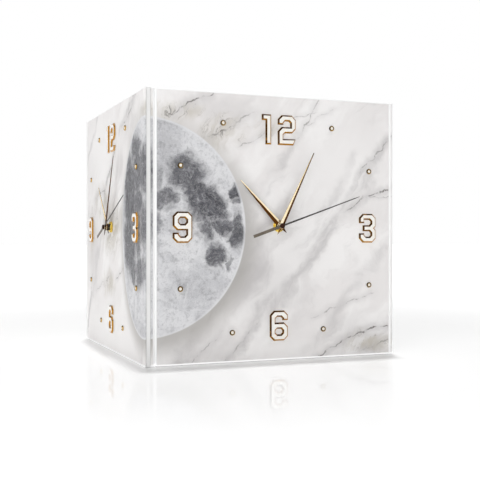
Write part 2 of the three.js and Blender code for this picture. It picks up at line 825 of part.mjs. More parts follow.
// The knob's pinion follows the phase of the change wheel, which is set by the cannon pinion
function settingKnob() {
  const towardsChange = radians(knobDirection + 180);
  const changePitch = 2 * Math.PI / changeTeeth;
  const changePhase = radians(changeDirection + 180) + changePitch / 2;
  const toothAway = (radians(knobDirection) - changePhase) / changePitch;
  const gapsAway = toothAway - wheelGapShare;
  const gapAway = gapsAway - Math.round(gapsAway);
  const phase = towardsChange - gapAway * changePitch * changeTeeth / knobLeaves;
  const knobFront = coverBack + seatGap;
  const knobBack = knobFront + knobThickness;
  const grip = [];
  for (let i = 0; i < knobRibs; i += 1) {
    for (const [share, depth] of knobRib) {
      const angle = (i + share) * 2 * Math.PI / knobRibs;
      const radius = knobRadius - depth;
      grip.push([knobAxis.x + radius * Math.cos(angle), knobAxis.z + radius * Math.sin(angle)]);
    }
  }
  return rod(knobShaftRadius, roomFront - pivotDepth, knobFront + knobThickness / 2, knobAxis)
    .add(pinion(knobLeaves, changeModule, changeStage, knobAxis, changeAxis, phase))
    .add(layer(polygon(grip), knobFront, knobBack));
}

// Corner brackets

function cornerBracket(middleHeight) {
  const start = frameFront;
  const end = start + bracketLeg;
  const inside = start + bracketThickness;
  const section = new THREE.Shape();
  section.moveTo(start, start);
  section.lineTo(end, start);
  section.lineTo(end, inside);
  section.lineTo(inside, inside);
  section.lineTo(inside, end);
  section.lineTo(start, end);
  section.closePath();
  const geometry = new THREE.ExtrudeGeometry(section, { depth: bracketHeight, bevelEnabled: false });
  geometry.translate(0, 0, middleHeight - bracketHeight / 2);
  return solid(geometry);
}

// Finishes
function finish(color, roughness, metalness) {
  return new THREE.MeshStandardMaterial({ color, roughness, metalness });
}

const printedAcrylic = finish(0xe4e3e0, 0.05, 0);
const foamBoard = finish(0xf2f2f0, 0.6, 0);
const whitePlastic = finish(0xf2f2f0, 0.55, 0);
const goldEdged = finish(0xd9b25a, 0.25, 1);
const gold = finish(0xc8963a, 0.22, 1);
const darkMetal = finish(0x4b4845, 0.35, 1);
const brass = finish(0xc9a227, 0.3, 1);
const blackPlastic = finish(0x1b1b1d, 0.6, 0);
const rubber = finish(0x222222, 0.9, 0);
const steel = finish(0xb9bcc0, 0.35, 1);
const copper = finish(0xa45a2a, 0.4, 0.6);
const whiteNylon = finish(0xe8e6df, 0.5, 0);
const batteryWrap = finish(0x3c4148, 0.4, 0.2);

// The pieces of a dial that lie about the middle of its panel, with their finishes
function panelPieces(cornerSide) {
  const pieces = {
    face_sheet: [faceSheet(), printedAcrylic],
    back_board: [backBoard(), foamBoard],
    rear_frame: [rearFrame(cornerSide), whitePlastic],
  };
  for (const [name, body] of Object.entries(numerals())) {
    pieces[name] = [body, goldEdged];
  }
  return pieces;
}

// The pieces that lie about the arbors
function movementPieces() {
  return {
    lock_nut: [lockNut(), brass],
    gasket: [gasket(), rubber],
    movement_case: [movementCase(), blackPlastic],
    movement_cover: [movementCover(), blackPlastic],
    battery: [battery(), batteryWrap],
    battery_plate: [batteryPlate(), steel],
    battery_leaf: [batteryLeaf(), steel],
    coil_board: [coilBoard(), copper],
    stator: [stator(), steel],
    rotor: [rotor(), whiteNylon],
    fifth_wheel: [fifthWheel(), whiteNylon],
    second_wheel: [secondWheel(), whiteNylon],
    third_wheel: [thirdWheel(), whiteNylon],
    minute_wheel: [minuteWheel(), whiteNylon],
    minute_arbor: [minuteArbor(), brass],
    change_wheel: [changeWheel(), whiteNylon],
    hour_wheel: [hourWheel(), whiteNylon],
    setting_knob: [settingKnob(), blackPlastic],
    hour_hand: [foldedHand(hourLength, hourHalfWidth, hourBack, hourPipeRadius), gold],
    minute_hand: [foldedHand(minuteLength, minuteHalfWidth, minuteBack, minuteArborRadius), gold],
    second_hand: [secondHand(), darkMetal],
  };
}

const handAngles = { hour_hand: hourAngle, minute_hand: minuteAngle, second_hand: secondAngle };

function named(prefix, pieces) {
  const group = new THREE.Group();
  for (const [name, [body, material]] of Object.entries(pieces)) {
    const mesh = new THREE.Mesh(geometryOf(body), material);
    mesh.name = `${prefix}_${name}`;
    mesh.rotation.y = radians(handAngles[name] ?? 0);
    group.add(mesh);
  }
  return group;
}

function dial(prefix, cornerSide) {
  const group = new THREE.Group();
  const movement = named(prefix, movementPieces());
  movement.position.z = hubRise;
  group.add(named(prefix, panelPieces(cornerSide)), movement);
  return group;
}

// The side panel reaches the front plane, and the front panel stops against its back
const frontDial = dial('front', -1);
frontDial.position.set(frameFront + panelWidth / 2, 0, panelHeight / 2);
const sideDial = dial('side', 1);
sideDial.position.set(0, panelWidth / 2, panelHeight / 2);
sideDial.rotation.z = -Math.PI / 2;

const clock = new THREE.Group();
clock.add(frontDial, sideDial);
const bracketLevels = {
  upper_corner_bracket: panelHeight - bracketInset - bracketHeight / 2,
  lower_corner_bracket: bracketInset + bracketHeight / 2,
};
for (const [name, level] of Object.entries(bracketLevels)) {
  const mesh = new THREE.Mesh(geometryOf(cornerBracket(level)), steel);
  mesh.name = name;
  clock.add(mesh);
}

// The origin is under the middle of everything, on the surface that the clock stands on
const reach = -hubFront;
clock.position.set((reach - frameFront - panelWidth) / 2, (reach - panelWidth) / 2, 0);

const assembly = new THREE.Group();
assembly.add(clock);

export default assembly;
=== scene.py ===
import math

import bmesh
import bpy
from mathutils import Matrix, Vector


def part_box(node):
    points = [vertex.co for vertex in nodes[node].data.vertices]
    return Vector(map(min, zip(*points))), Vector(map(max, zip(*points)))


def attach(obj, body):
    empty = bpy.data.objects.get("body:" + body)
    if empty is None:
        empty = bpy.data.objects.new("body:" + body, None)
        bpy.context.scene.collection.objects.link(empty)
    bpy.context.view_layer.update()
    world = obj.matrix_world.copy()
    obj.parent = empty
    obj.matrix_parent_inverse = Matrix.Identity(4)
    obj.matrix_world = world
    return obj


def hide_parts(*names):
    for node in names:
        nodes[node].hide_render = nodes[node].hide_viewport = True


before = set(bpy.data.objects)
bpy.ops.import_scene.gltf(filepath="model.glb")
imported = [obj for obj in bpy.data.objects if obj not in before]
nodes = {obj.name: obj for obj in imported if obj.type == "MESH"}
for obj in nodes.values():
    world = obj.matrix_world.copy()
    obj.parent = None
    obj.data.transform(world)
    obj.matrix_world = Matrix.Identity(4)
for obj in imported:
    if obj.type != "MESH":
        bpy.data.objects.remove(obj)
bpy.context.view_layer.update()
mm = 0.001
print("clock frame loaded:", len(nodes), "pieces")

# each dial has its own flat frame: x to its right, y up, z out of the face
skyward = Vector((0, 0, 1))
dials = {
    "front": {"right": Vector((1, 0, 0)), "out": Vector((0, -1, 0))},
    "side": {"right": Vector((0, -1, 0)), "out": Vector((-1, 0, 0))},
}
for side, dial in dials.items():
    low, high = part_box(side + "_face_sheet")
    halfSheet = abs((high - low).dot(dial["out"])) / 2
    place = Matrix((dial["right"], skyward, dial["out"])).transposed().to_4x4()
    place.translation = (low + high) / 2 + dial["out"] * halfSheet
    dial["place"] = place


def boxOnDial(side, piece):
    toDial = dials[side]["place"].inverted()
    corners = [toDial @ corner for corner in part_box(side + "_" + piece)]
    return Vector(map(min, *corners)), Vector(map(max, *corners))


for side, dial in dials.items():
    low, high = boxOnDial(side, "lock_nut")
    dial["hub"] = dial["place"] @ Matrix.Translation(((low.x + high.x) / 2, (low.y + high.y) / 2, 0))


def shade(red, green, blue):  # a screen colour, 0 to 255
    def light(value):
        value /= 255
        return value / 12.92 if value <= 0.04045 else ((value + 0.055) / 1.055) ** 2.4
    return light(red), light(green), light(blue), 1


# node shorthand: a plug is another node's socket or a plain value
def plugIn(tree, node, plugs):
    for key, plug in plugs.items():
        if isinstance(plug, bpy.types.NodeSocket):
            tree.links.new(plug, node.inputs[key])
        else:
            node.inputs[key].default_value = plug


def addNode(tree, kind, plugs=None, **settings):
    node = tree.nodes.new("ShaderNode" + kind)
    for name, value in settings.items():
        setattr(node, name, value)
    plugIn(tree, node, plugs or {})
    return node


def calc(tree, operation, *plugs):
    return addNode(tree, "Math", dict(enumerate(plugs)), operation=operation).outputs[0]


def vectorCalc(tree, operation, *plugs):
    node = addNode(tree, "VectorMath", dict(enumerate(plugs)), operation=operation)
    return node.outputs["Value" if operation in ("LENGTH", "DOT_PRODUCT") else "Vector"]


def fade(tree, value, start, end, low=0.0, high=1.0):  # soft step from low at start to high at end
    plugs = {"Value": value, "From Min": start, "From Max": end, "To Min": low, "To Max": high}
    return addNode(tree, "MapRange", plugs, interpolation_type="SMOOTHSTEP").outputs["Result"]


def between(tree, value, rise, fall):  # up over one fade and down over the next
    return calc(tree, "MULTIPLY", fade(tree, value, *rise), fade(tree, value, *fall))


def blendTone(tree, share, under, over):
    return addNode(tree, "Mix", {0: share, 6: under, 7: over}, data_type="RGBA").outputs[2]


def noise(tree, place, scale, detail=3.0, rough=0.5, flat=False, colour=False):
    plugs = {"Vector": place, "Scale": scale, "Detail": detail, "Roughness": rough}
    node = addNode(tree, "TexNoise", plugs, noise_dimensions="2D" if flat else "3D")
    return node.outputs["Color" if colour else "Fac"]


def objectPlace(tree):
    return addNode(tree, "TexCoord").outputs["Object"]


def facing(tree, direction):  # how squarely a face of the piece looks along a direction
    normal = addNode(tree, "NewGeometry").outputs["True Normal"]
    settings = {"vector_type": "NORMAL", "convert_from": "WORLD", "convert_to": "OBJECT"}
    own = addNode(tree, "VectorTransform", {"Vector": normal}, **settings).outputs[0]
    return vectorCalc(tree, "DOT_PRODUCT", own, tuple(direction))


def newFinish(name, sockets=None):
    finish = bpy.data.materials.new(name)
    finish.use_nodes = True
    shader = finish.node_tree.nodes["Principled BSDF"]
    plugIn(finish.node_tree, shader, sockets or {})
    return finish, finish.node_tree, shader


# moulded, rolled or turned stock: uneven tone, grain in the gloss and a fine relief
def stockFinish(name, look):
    finish, tree, shader = newFinish(name, look.get("sockets"))
    place = objectPlace(tree)
    cloud = noise(tree, place, 1 / look["cloud"], 4)
    drawn = vectorCalc(tree, "MULTIPLY", place, look.get("drawn", (1, 1, 1)))
    grain = noise(tree, drawn, 1 / look["grain"], 3, 0.6)
    tone = blendTone(tree, fade(tree, cloud, 0.3, 0.7), look["tone"], look["lowTone"])
    gloss = fade(tree, grain, 0.25, 0.75, *look["rough"])
    relief = addNode(tree, "Bump", {"Height": grain, "Distance": look["relief"], "Strength": 0.6})
    plugIn(tree, shader, {"Base Color": tone, "Roughness": gloss, "Normal": relief.outputs[0]})
    return finish


stockLooks = {
    "foamBoard": {
        "tone": shade(246, 246, 245), "lowTone": shade(240, 240, 239), "rough": (0.5, 0.7),
        "cloud": 60 * mm, "grain": 0.9 * mm, "relief": 0.06 * mm,
    },
    "satinWhite": {
        "tone": shade(232, 232, 230), "lowTone": shade(225, 225, 223), "rough": (0.38, 0.55),
        "cloud": 80 * mm, "grain": 0.5 * mm, "relief": 0.03 * mm,
    },
    "blackCase": {
        "tone": shade(33, 33, 35), "lowTone": shade(25, 25, 27), "rough": (0.42, 0.62),
        "cloud": 14 * mm, "grain": 0.35 * mm, "relief": 0.04 * mm,
    },
    "washerRubber": {
        "tone": shade(38, 37, 36), "lowTone": shade(29, 29, 29), "rough": (0.75, 0.9),
        "cloud": 5 * mm, "grain": 0.4 * mm, "relief": 0.05 * mm,
    },
    "wheelNylon": {
        "tone": shade(234, 232, 224), "lowTone": shade(224, 221, 211), "rough": (0.35, 0.5),
        "cloud": 6 * mm, "grain": 0.3 * mm, "relief": 0.02 * mm,
        "sockets": {"Subsurface Weight": 0.1, "Subsurface Scale": 0.5 * mm},
    },
    "zincSteel": {
        "tone": shade(196, 199, 203), "lowTone": shade(171, 175, 181), "rough": (0.28, 0.45),
        "cloud": 9 * mm, "grain": 0.5 * mm, "relief": 0.02 * mm, "drawn": (1, 1, 0.08),
        "sockets": {"Metallic": 1},
    },
    "yellowBrass": {
        "tone": shade(250, 228, 132), "lowTone": shade(230, 196, 88), "rough": (0.18, 0.32),
        "cloud": 4 * mm, "grain": 0.25 * mm, "relief": 0.012 * mm,
        "sockets": {"Metallic": 1},
    },
    # the next two golds are one metal, painted lit and painted shaded, for the facets of the folded hands
    "paintedLightGold": {
        "tone": shade(255, 242, 212), "lowTone": shade(248, 224, 176), "rough": (0.2, 0.3),
        "cloud": 12 * mm, "grain": 0.3 * mm, "relief": 0.008 * mm,
        "sockets": {"Metallic": 1},
    },
    "paintedShadeGold": {
        "tone": shade(98, 60, 24), "lowTone": shade(62, 36, 13), "rough": (0.22, 0.34),
        "cloud": 12 * mm, "grain": 0.3 * mm, "relief": 0.008 * mm,
        "sockets": {"Metallic": 1},
    },
    "studGold": {
        "tone": shade(186, 138, 66), "lowTone": shade(140, 96, 42), "rough": (0.2, 0.32),
        "cloud": 2 * mm, "grain": 0.25 * mm, "relief": 0.008 * mm,
        "sockets": {"Metallic": 1},
    },
    "creamEnamel": {
        "tone": shade(253, 249, 240), "lowTone": shade(247, 240, 226), "rough": (0.18, 0.28),
        "cloud": 8 * mm, "grain": 0.6 * mm, "relief": 0.006 * mm,
        "sockets": {"Coat Weight": 0.5, "Coat Roughness": 0.05},
    },
    "needleGrey": {
        "tone": shade(74, 72, 68), "lowTone": shade(58, 55, 52), "rough": (0.3, 0.44),
        "cloud": 15 * mm, "grain": 0.3 * mm, "relief": 0.01 * mm,
        "sockets": {"Metallic": 0.8},
    },
    "tailGrey": {
        "tone": shade(118, 108, 96), "lowTone": shade(98, 90, 80), "rough": (0.34, 0.48),
        "cloud": 15 * mm, "grain": 0.3 * mm, "relief": 0.01 * mm,
        "sockets": {"Metallic": 0.7},
    },
    "capBrown": {
        "tone": shade(58, 29, 13), "lowTone": shade(42, 20, 9), "rough": (0.26, 0.36),
        "cloud": 2 * mm, "grain": 0.3 * mm, "relief": 0.004 * mm,
        "sockets": {"Specular IOR Level": 0.12},
    },
    "cellSleeve": {
        "tone": shade(92, 99, 108), "lowTone": shade(80, 87, 96), "rough": (0.24, 0.36),
        "cloud": 25 * mm, "grain": 0.6 * mm, "relief": 0.01 * mm,
        "sockets": {"Metallic": 0.35, "Coat Weight": 0.4, "Coat Roughness": 0.1},
    },
    "cellSteel": {
        "tone": shade(205, 205, 203), "lowTone": shade(186, 186, 186), "rough": (0.18, 0.32),
        "cloud": 6 * mm, "grain": 0.4 * mm, "relief": 0.01 * mm,
        "sockets": {"Metallic": 1},
    },
}
finishes = {name: stockFinish(name, look) for name, look in stockLooks.items()}

# copper wire wound side by side along the coil, with painted shade in the grooves between turns, and a green
# board at its end
coilWound = {
    "copper": shade(184, 104, 56), "copperGrooveShade": shade(120, 62, 30), "pitch": 0.22 * mm,
    "boardGreen": shade(40, 92, 62), "core": shade(176, 178, 180), "rough": 0.4, "metal": 0.5,
    "boardEnd": 5.1 * mm, "boardFade": 5.3 * mm, "windingFrom": 5.4 * mm, "relief": 0.05 * mm,
}


def coilFinish(name, side, look):
    finish, tree, shader = newFinish(name, {"Roughness": look["rough"], "Metallic": look["metal"]})
    low, high = boxOnDial(side, "coil_board")
    length = high.x - low.x
    along = vectorCalc(tree, "DOT_PRODUCT", objectPlace(tree), tuple(dials[side]["right"]))
    start = dials[side]["place"].translation.dot(dials[side]["right"]) + low.x
    reach = calc(tree, "SUBTRACT", along, start)
    turns = calc(tree, "SINE", calc(tree, "MULTIPLY", reach, 2 * math.pi / look["pitch"]))
    # painted shade: the copper goes dark in the groove between each two turns
    wire = blendTone(tree, fade(tree, turns, -1, 1), look["copperGrooveShade"], look["copper"])
    boardEnd, windingFrom = look["boardEnd"], look["windingFrom"]
    wound = between(tree, reach, (boardEnd, windingFrom), (length - boardEnd, length - windingFrom))
    onBoard = fade(tree, reach, look["boardFade"], boardEnd)
    bare = blendTone(tree, onBoard, look["core"], look["boardGreen"])
    tone = blendTone(tree, wound, bare, wire)
    relief = addNode(tree, "Bump", {"Height": turns, "Distance": look["relief"], "Strength": wound})
    plugIn(tree, shader, {"Base Color": tone, "Normal": relief.outputs[0]})
    return finish


# the marble print runs round the corner: its run is counted from the corner's edge, to the right on
# the front and to the left, below zero, on the side. all in millimetres
marblePrint = {
    "pale": shade(243, 240, 239), "white": shade(253, 251, 250), "mist": shade(201, 198, 198),
    "beige": shade(206, 200, 189), "vein": shade(100, 94, 90), "slant": 55,
    "bend": [(0.012, 70)], "waves": [(0.018, 30), (0.07, 10)], "jags": [(0.02, 12), (0.08, 8)],
    "broad": (0.007, 0.017, 0), "close": (0.02, 0.06, 0), "patch": 0.011, "breaks": 0.06,
    "haloWide": 6, "haloShare": 0.5, "coreWide": 0.75, "hairHalf": 0.016, "hairShare": 0.75,
    "lights": [  # paler stone: run, up, reach across, reach up, strength
        (-215, 262, 90, 50, 0.9), (-150, 24, 150, 40, 1.0), (240, 226, 70, 54, 0.6),
        (236, 116, 60, 40, 0.15), (176, 8, 60, 16, 0.7), (190, 270, 40, 26, 0.7),
    ],
    "zones": [  # grey stone, in the same order
        (140, 88, 58, 56, 0.9), (62, 22, 60, 26, 0.4), (176, 116, 46, 40, 0.55), (270, 26, 50, 26, 0.6),
        (92, 278, 56, 20, 0.3), (-60, 268, 36, 22, 0.4), (-116, 226, 30, 22, 0.3), (-250, 120, 36, 60, 0.4),
    ],
    "clouds": [  # warm stains, in the same order
        (30, 274, 46, 14, 0.8), (90, 256, 34, 18, 0.8), (278, 18, 42, 14, 0.8), (-208, 186, 38, 22, 0.9),
        (-150, 150, 52, 36, 0.9), (-165, 82, 34, 16, 0.9), (-262, 150, 18, 40, 0.6), (146, 262, 18, 14, 0.6),
    ],
    "streaks": [  # soft bands: from run and up, to run and up, half width, strength
        (150, 50, 306, 262, 13, 0.75), (34, 2, 122, 112, 11, 0.7), (99, 2, 152, 70, 9, 0.75),
        (142, 190, 184, 254, 9, 0.55), (196, 10, 300, 130, 12, 0.45), (110, 120, 168, 176, 10, 0.5),
        (206, 150, 252, 232, 11, 0.4), (-296, 10, -226, 124, 9, 0.7), (-262, 60, -196, 156, 10, 0.5),
        (-178, 206, -132, 246, 5, 0.8), (-108, 264, -36, 300, 6, 0.8), (-300, 236, -226, 300, 7, 0.5),
    ],
    "veins": [  # from run and up, to run and up, half width, strength
        (246, 173, 262, 185, 1.3, 0.8), (262, 184, 306, 199, 1.5, 0.85), (268, 186, 306, 188, 1.0, 0.5),
        (262, 214, 284, 238, 1.2, 0.5), (284, 238, 306, 260, 1.4, 0.6),
        (205, 2, 240, 20, 1.4, 0.8), (240, 20, 266, 29, 1.5, 0.85), (266, 29, 306, 36, 1.5, 0.95),
        (262, 6, 306, 20, 1.2, 0.5), (203, 49, 236, 58, 1.4, 0.5), (236, 58, 276, 72, 1.4, 0.6),
        (94, 4, 130, 42, 1.2, 0.4), (50, 2, 84, 30, 1.2, 0.4), (28, 272, 46, 282, 1.4, 0.7),
        (46, 282, 74, 297, 1.6, 0.8), (72, 248, 96, 260, 1.5, 0.5), (96, 260, 122, 278, 1.5, 0.5),
        (112, 242, 142, 258, 1.3, 0.5), (184, 258, 204, 294, 1.5, 0.55), (194, 270, 226, 288, 1.2, 0.45),
        (176, 276, 200, 282, 1.1, 0.4), (-98, 268, -64, 280, 1.8, 0.7), (-64, 280, -36, 297, 1.8, 0.8),
        (-172, 214, -138, 240, 1.6, 0.7), (-246, 190, -190, 201, 1.6, 0.7), (-128, 90, -96, 102, 1.4, 0.6),
        (-240, 70, -150, 92, 1.4, 0.4), (-292, 8, -262, 92, 1.6, 0.4),
    ],
}


def shiftedBy(tree, flat, pushes):  # the plane, pushed about by noise: scale and reach of each push
    for scale, reach in pushes:
        drift = noise(tree, flat, scale, 4, 0.55, flat=True, colour=True)
        push = vectorCalc(tree, "SUBTRACT", drift, (0.5, 0.5, 0))
        flat = vectorCalc(tree, "MULTIPLY_ADD", push, (reach, reach, 0), flat)
    return flat


# how near a place is to a line: its full strength on it, 0 at its half width, and 0 past its ends
def strokeAt(tree, flat, run, rise, endRun, endRise, width, strength, inside=4, outside=8):
    reach = math.hypot(endRun - run, endRise - rise)
    along = ((endRun - run) / reach, (endRise - rise) / reach, 0)
    offset = vectorCalc(tree, "SUBTRACT", flat, (run, rise, 0))
    gone = vectorCalc(tree, "DOT_PRODUCT", offset, along)
    past = calc(tree, "MAXIMUM", calc(tree, "SUBTRACT", gone, reach), calc(tree, "MULTIPLY", gone, -1.0))
    aside = calc(tree, "ABSOLUTE", vectorCalc(tree, "DOT_PRODUCT", offset, (-along[1], along[0], 0)))
    beside = fade(tree, aside, width, 0.0, 0, strength)
    return calc(tree, "MULTIPLY", beside, fade(tree, past, outside + width, -inside))


# a soft oval, strongest in its middle
def stainAt(tree, flat, run, rise, across, tall, strength, start=1.35, end=0.2):
    offset = vectorCalc(tree, "SUBTRACT", flat, (run, rise, 0))
    away = vectorCalc(tree, "LENGTH", vectorCalc(tree, "MULTIPLY", offset, (1 / across, 1 / tall, 0)))
    return fade(tree, away, start, end, 0, strength)


def strongest(tree, shares):
    total = shares[0]
    for share in shares[1:]:
        total = calc(tree, "MAXIMUM", total, share)
    return total


def marbleTone(tree, flat, look):
    bent = shiftedBy(tree, flat, look["bend"])
    slant = {"Vector": bent, "Angle": math.radians(-look["slant"])}
    drawn = addNode(tree, "VectorRotate", slant, rotation_type="Z_AXIS").outputs[0]
    broad = noise(tree, vectorCalc(tree, "MULTIPLY", drawn, look["broad"]), 1.0, 6, 0.55, flat=True)
    close = noise(tree, vectorCalc(tree, "MULTIPLY", drawn, look["close"]), 1.0, 6, 0.62, flat=True)
    patch = noise(tree, flat, look["patch"], 2, 0.5, flat=True)
    tone = blendTone(tree, fade(tree, broad, 0.56, 0.36), look["pale"], look["white"])
    wisps = calc(tree, "MULTIPLY", fade(tree, close, 0.5, 0.78, 0, 0.35), fade(tree, patch, 0.4, 0.62))
    tone = blendTone(tree, wisps, tone, look["mist"])

    wavy = shiftedBy(tree, flat, look["waves"])
    pale = strongest(tree, [stainAt(tree, wavy, *light) for light in look["lights"]])
    tone = blendTone(tree, pale, tone, look["white"])
    grey = strongest(tree, [stainAt(tree, wavy, *zone) for zone in look["zones"]])
    grey = calc(tree, "MULTIPLY", grey, fade(tree, broad, 0.3, 0.62, 0.4, 1))
    tone = blendTone(tree, grey, tone, look["mist"])
    soft = strongest(tree, [strokeAt(tree, wavy, *streak) for streak in look["streaks"]])
    soft = calc(tree, "MULTIPLY", soft, fade(tree, close, 0.28, 0.66, 0.25, 1))
    tone = blendTone(tree, soft, tone, look["mist"])
    warm = strongest(tree, [stainAt(tree, wavy, *cloud) for cloud in look["clouds"]])
    stained = calc(tree, "MULTIPLY", warm, fade(tree, close, 0.32, 0.66, 0.1, 1))
    tone = blendTone(tree, stained, tone, look["beige"])

    # dark veins, broken up, and hairlines where the stone is stained
    jagged = shiftedBy(tree, flat, look["jags"])
    halo = strongest(tree, [strokeAt(tree, jagged, *line, half * look["haloWide"], dark * look["haloShare"])
                            for *line, half, dark in look["veins"]])
    core = strongest(tree, [strokeAt(tree, jagged, *line, half * look["coreWide"], dark)
                            for *line, half, dark in look["veins"]])
    broken = fade(tree, noise(tree, flat, look["breaks"], 4, 0.62, flat=True), 0.4, 0.6, 0.05, 1)
    tone = blendTone(tree, halo, tone, look["mist"])
    tone = blendTone(tree, calc(tree, "MULTIPLY", core, broken), tone, look["vein"])
    nearLine = calc(tree, "ABSOLUTE", calc(tree, "SUBTRACT", close, 0.5))
    fine = fade(tree, nearLine, look["hairHalf"], 0.0, 0, look["hairShare"])
    hair = calc(tree, "MULTIPLY", fine, calc(tree, "MULTIPLY", warm, broken))
    return blendTone(tree, hair, tone, look["vein"])


# a full moon folded round the corner, drawn from noise and crater rings
moonPrint = {
    "run": -3.5, "rise": 149.5, "reach": 120.5, "sideSqueeze": 1.29,
    "upland": shade(203, 203, 206), "bright": shade(232, 232, 234), "plain": shade(114, 114, 119),
    "deep": shade(78, 78, 83), "rim": shade(234, 234, 236), "shadow": shade(174, 171, 167),
    "pushes": [(5.0, 0.2), (18.0, 0.07)], "shore": (1.5, 0.5), "patch": 2.6, "mottle": 9.0, "dust": 24.0,
    "grit": 80.0, "spokes": 4.0, "pits": [(9.0, 0.14), (22.0, 0.14), (46.0, 0.2)],
    "speckle": 0.8, "shadowAt": (0.03, -0.04, 0),
    "plains": [  # run, rise, reach across, reach up, all in shares of the disc's reach, and darkness
        (0.41, 0.52, 0.17, 0.17, 0.85), (0.36, 0.80, 0.24, 0.07, 0.15), (0.22, 0.64, 0.08, 0.08, 0.2),
        (0.63, 0.22, 0.19, 0.17, 1.0), (0.51, 0.36, 0.11, 0.11, 0.9), (0.62, -0.02, 0.09, 0.10, 0.75),
        (0.77, 0.02, 0.10, 0.09, 0.9), (0.91, -0.03, 0.07, 0.18, 0.85), (0.91, 0.32, 0.055, 0.10, 0.95),
        (0.71, -0.24, 0.09, 0.12, 0.9), (0.84, -0.31, 0.04, 0.06, 0.6), (0.23, 0.28, 0.16, 0.11, 0.75),
        (0.12, 0.06, 0.07, 0.16, 0.55), (0.14, 0.46, 0.06, 0.12, 0.45), (-0.62, 0.34, 0.28, 0.36, 1.0),
        (-0.62, -0.12, 0.30, 0.32, 0.95), (-0.28, 0.52, 0.20, 0.24, 0.85), (-0.26, -0.06, 0.16, 0.24, 0.8),
        (-0.46, -0.42, 0.14, 0.12, 0.85), (-0.20, -0.40, 0.16, 0.16, 0.8), (-0.34, 0.73, 0.26, 0.14, 0.85),
        (-0.04, 0.52, 0.14, 0.24, 0.8), (-0.03, 0.02, 0.13, 0.22, 0.75), (-0.03, -0.36, 0.10, 0.14, 0.6),
        (-0.24, 0.22, 0.22, 0.15, 0.85),
    ],
    "rays": [(0.38, -0.74, 0.6), (0.12, -0.86, 0.5)],  # run and rise of a crater, reach of its rays
}


def moonTone(tree, run, rise, under, look):
    folded = calc(tree, "ADD", calc(tree, "MAXIMUM", run, 0.0),
                  calc(tree, "MULTIPLY", calc(tree, "MINIMUM", run, 0.0), look["sideSqueeze"]))
    across = calc(tree, "DIVIDE", calc(tree, "SUBTRACT", folded, look["run"]), look["reach"])
    tall = calc(tree, "DIVIDE", calc(tree, "SUBTRACT", rise, look["rise"]), look["reach"])
    disc = addNode(tree, "CombineXYZ", {0: across, 1: tall, 2: 0.0}).outputs[0]
    away = vectorCalc(tree, "LENGTH", disc)

    ragged = shiftedBy(tree, disc, look["pushes"])
    shores = []
    for runAt, riseAt, wide, high, darkness in look["plains"]:
        offset = vectorCalc(tree, "MULTIPLY", vectorCalc(tree, "SUBTRACT", ragged, (runAt, riseAt, 0)),
                            (1 / wide, 1 / high, 0))
        shores.append(fade(tree, vectorCalc(tree, "LENGTH", offset), *look["shore"], 0, darkness))
    patch = noise(tree, disc, look["patch"], 6, 0.62, flat=True)
    dust = noise(tree, disc, look["dust"], 8, 0.72, flat=True)
    mottle = noise(tree, disc, look["mottle"], 7, 0.7, flat=True)
    speckled = strongest(tree, shores)
    for grain in (mottle, dust):
        uneven = calc(tree, "SUBTRACT", grain, 0.5)
        speckled = calc(tree, "MULTIPLY_ADD", uneven, look["speckle"], speckled)
    lowland = fade(tree, speckled, 0.05, 0.95)

    grit = noise(tree, disc, look["grit"], 4, 0.7, flat=True)
    upland = blendTone(tree, fade(tree, patch, 0.34, 0.6), look["upland"], look["bright"])
    upland = blendTone(tree, fade(tree, mottle, 0.5, 0.3, 0, 0.35), upland, look["plain"])
    upland = blendTone(tree, fade(tree, dust, 0.5, 0.34, 0, 0.25), upland, look["plain"])
    upland = blendTone(tree, fade(tree, grit, 0.56, 0.72, 0, 0.6), upland, look["rim"])
    plain = blendTone(tree, fade(tree, mottle, 0.34, 0.66), look["deep"], look["plain"])
    plain = blendTone(tree, fade(tree, mottle, 0.6, 0.78, 0, 0.5), plain, look["upland"])
    plain = blendTone(tree, fade(tree, grit, 0.62, 0.76, 0, 0.3), plain, look["upland"])
    tone = blendTone(tree, lowland, upland, plain)
    for runAt, riseAt, reach in look["rays"]:
        offset = vectorCalc(tree, "SUBTRACT", disc, (runAt, riseAt, 0))
        sides = addNode(tree, "SeparateXYZ", {0: offset}).outputs
        turn = calc(tree, "ARCTAN2", sides[1], sides[0])
        gone = vectorCalc(tree, "LENGTH", offset)
        fan = addNode(tree, "CombineXYZ", {0: turn, 1: gone, 2: 0.0}).outputs[0]
        spokes = noise(tree, fan, look["spokes"], 4, 0.62, flat=True)
        ray = calc(tree, "MULTIPLY", fade(tree, spokes, 0.46, 0.72, 0, 0.55), fade(tree, gone, reach, 0.04))
        tone = blendTone(tree, ray, tone, look["rim"])
    for scale, depth in look["pits"]:
        pits = addNode(tree, "TexVoronoi", {"Vector": ragged, "Scale": scale},
                       voronoi_dimensions="2D").outputs["Distance"]
        rim = between(tree, pits, (0.1, 0.17, 0, depth), (0.27, 0.19))
        tone = blendTone(tree, rim, tone, look["bright"])
        tone = blendTone(tree, fade(tree, pits, 0.13, 0.05, 0, depth), tone, look["plain"])
    tone = blendTone(tree, fade(tree, away, 0.968, 0.99, 0, 0.7), tone, look["rim"])

    lowered = vectorCalc(tree, "LENGTH", vectorCalc(tree, "SUBTRACT", disc, look["shadowAt"]))
    cast = calc(tree, "MULTIPLY", fade(tree, lowered, 1.2, 0.96, 0, 0.7),
                fade(tree, tall, 0.95, 0.1, 0.5, 1))
    ground = blendTone(tree, cast, under, look["shadow"])
    return blendTone(tree, fade(tree, away, 1.003, 0.99), ground, tone)
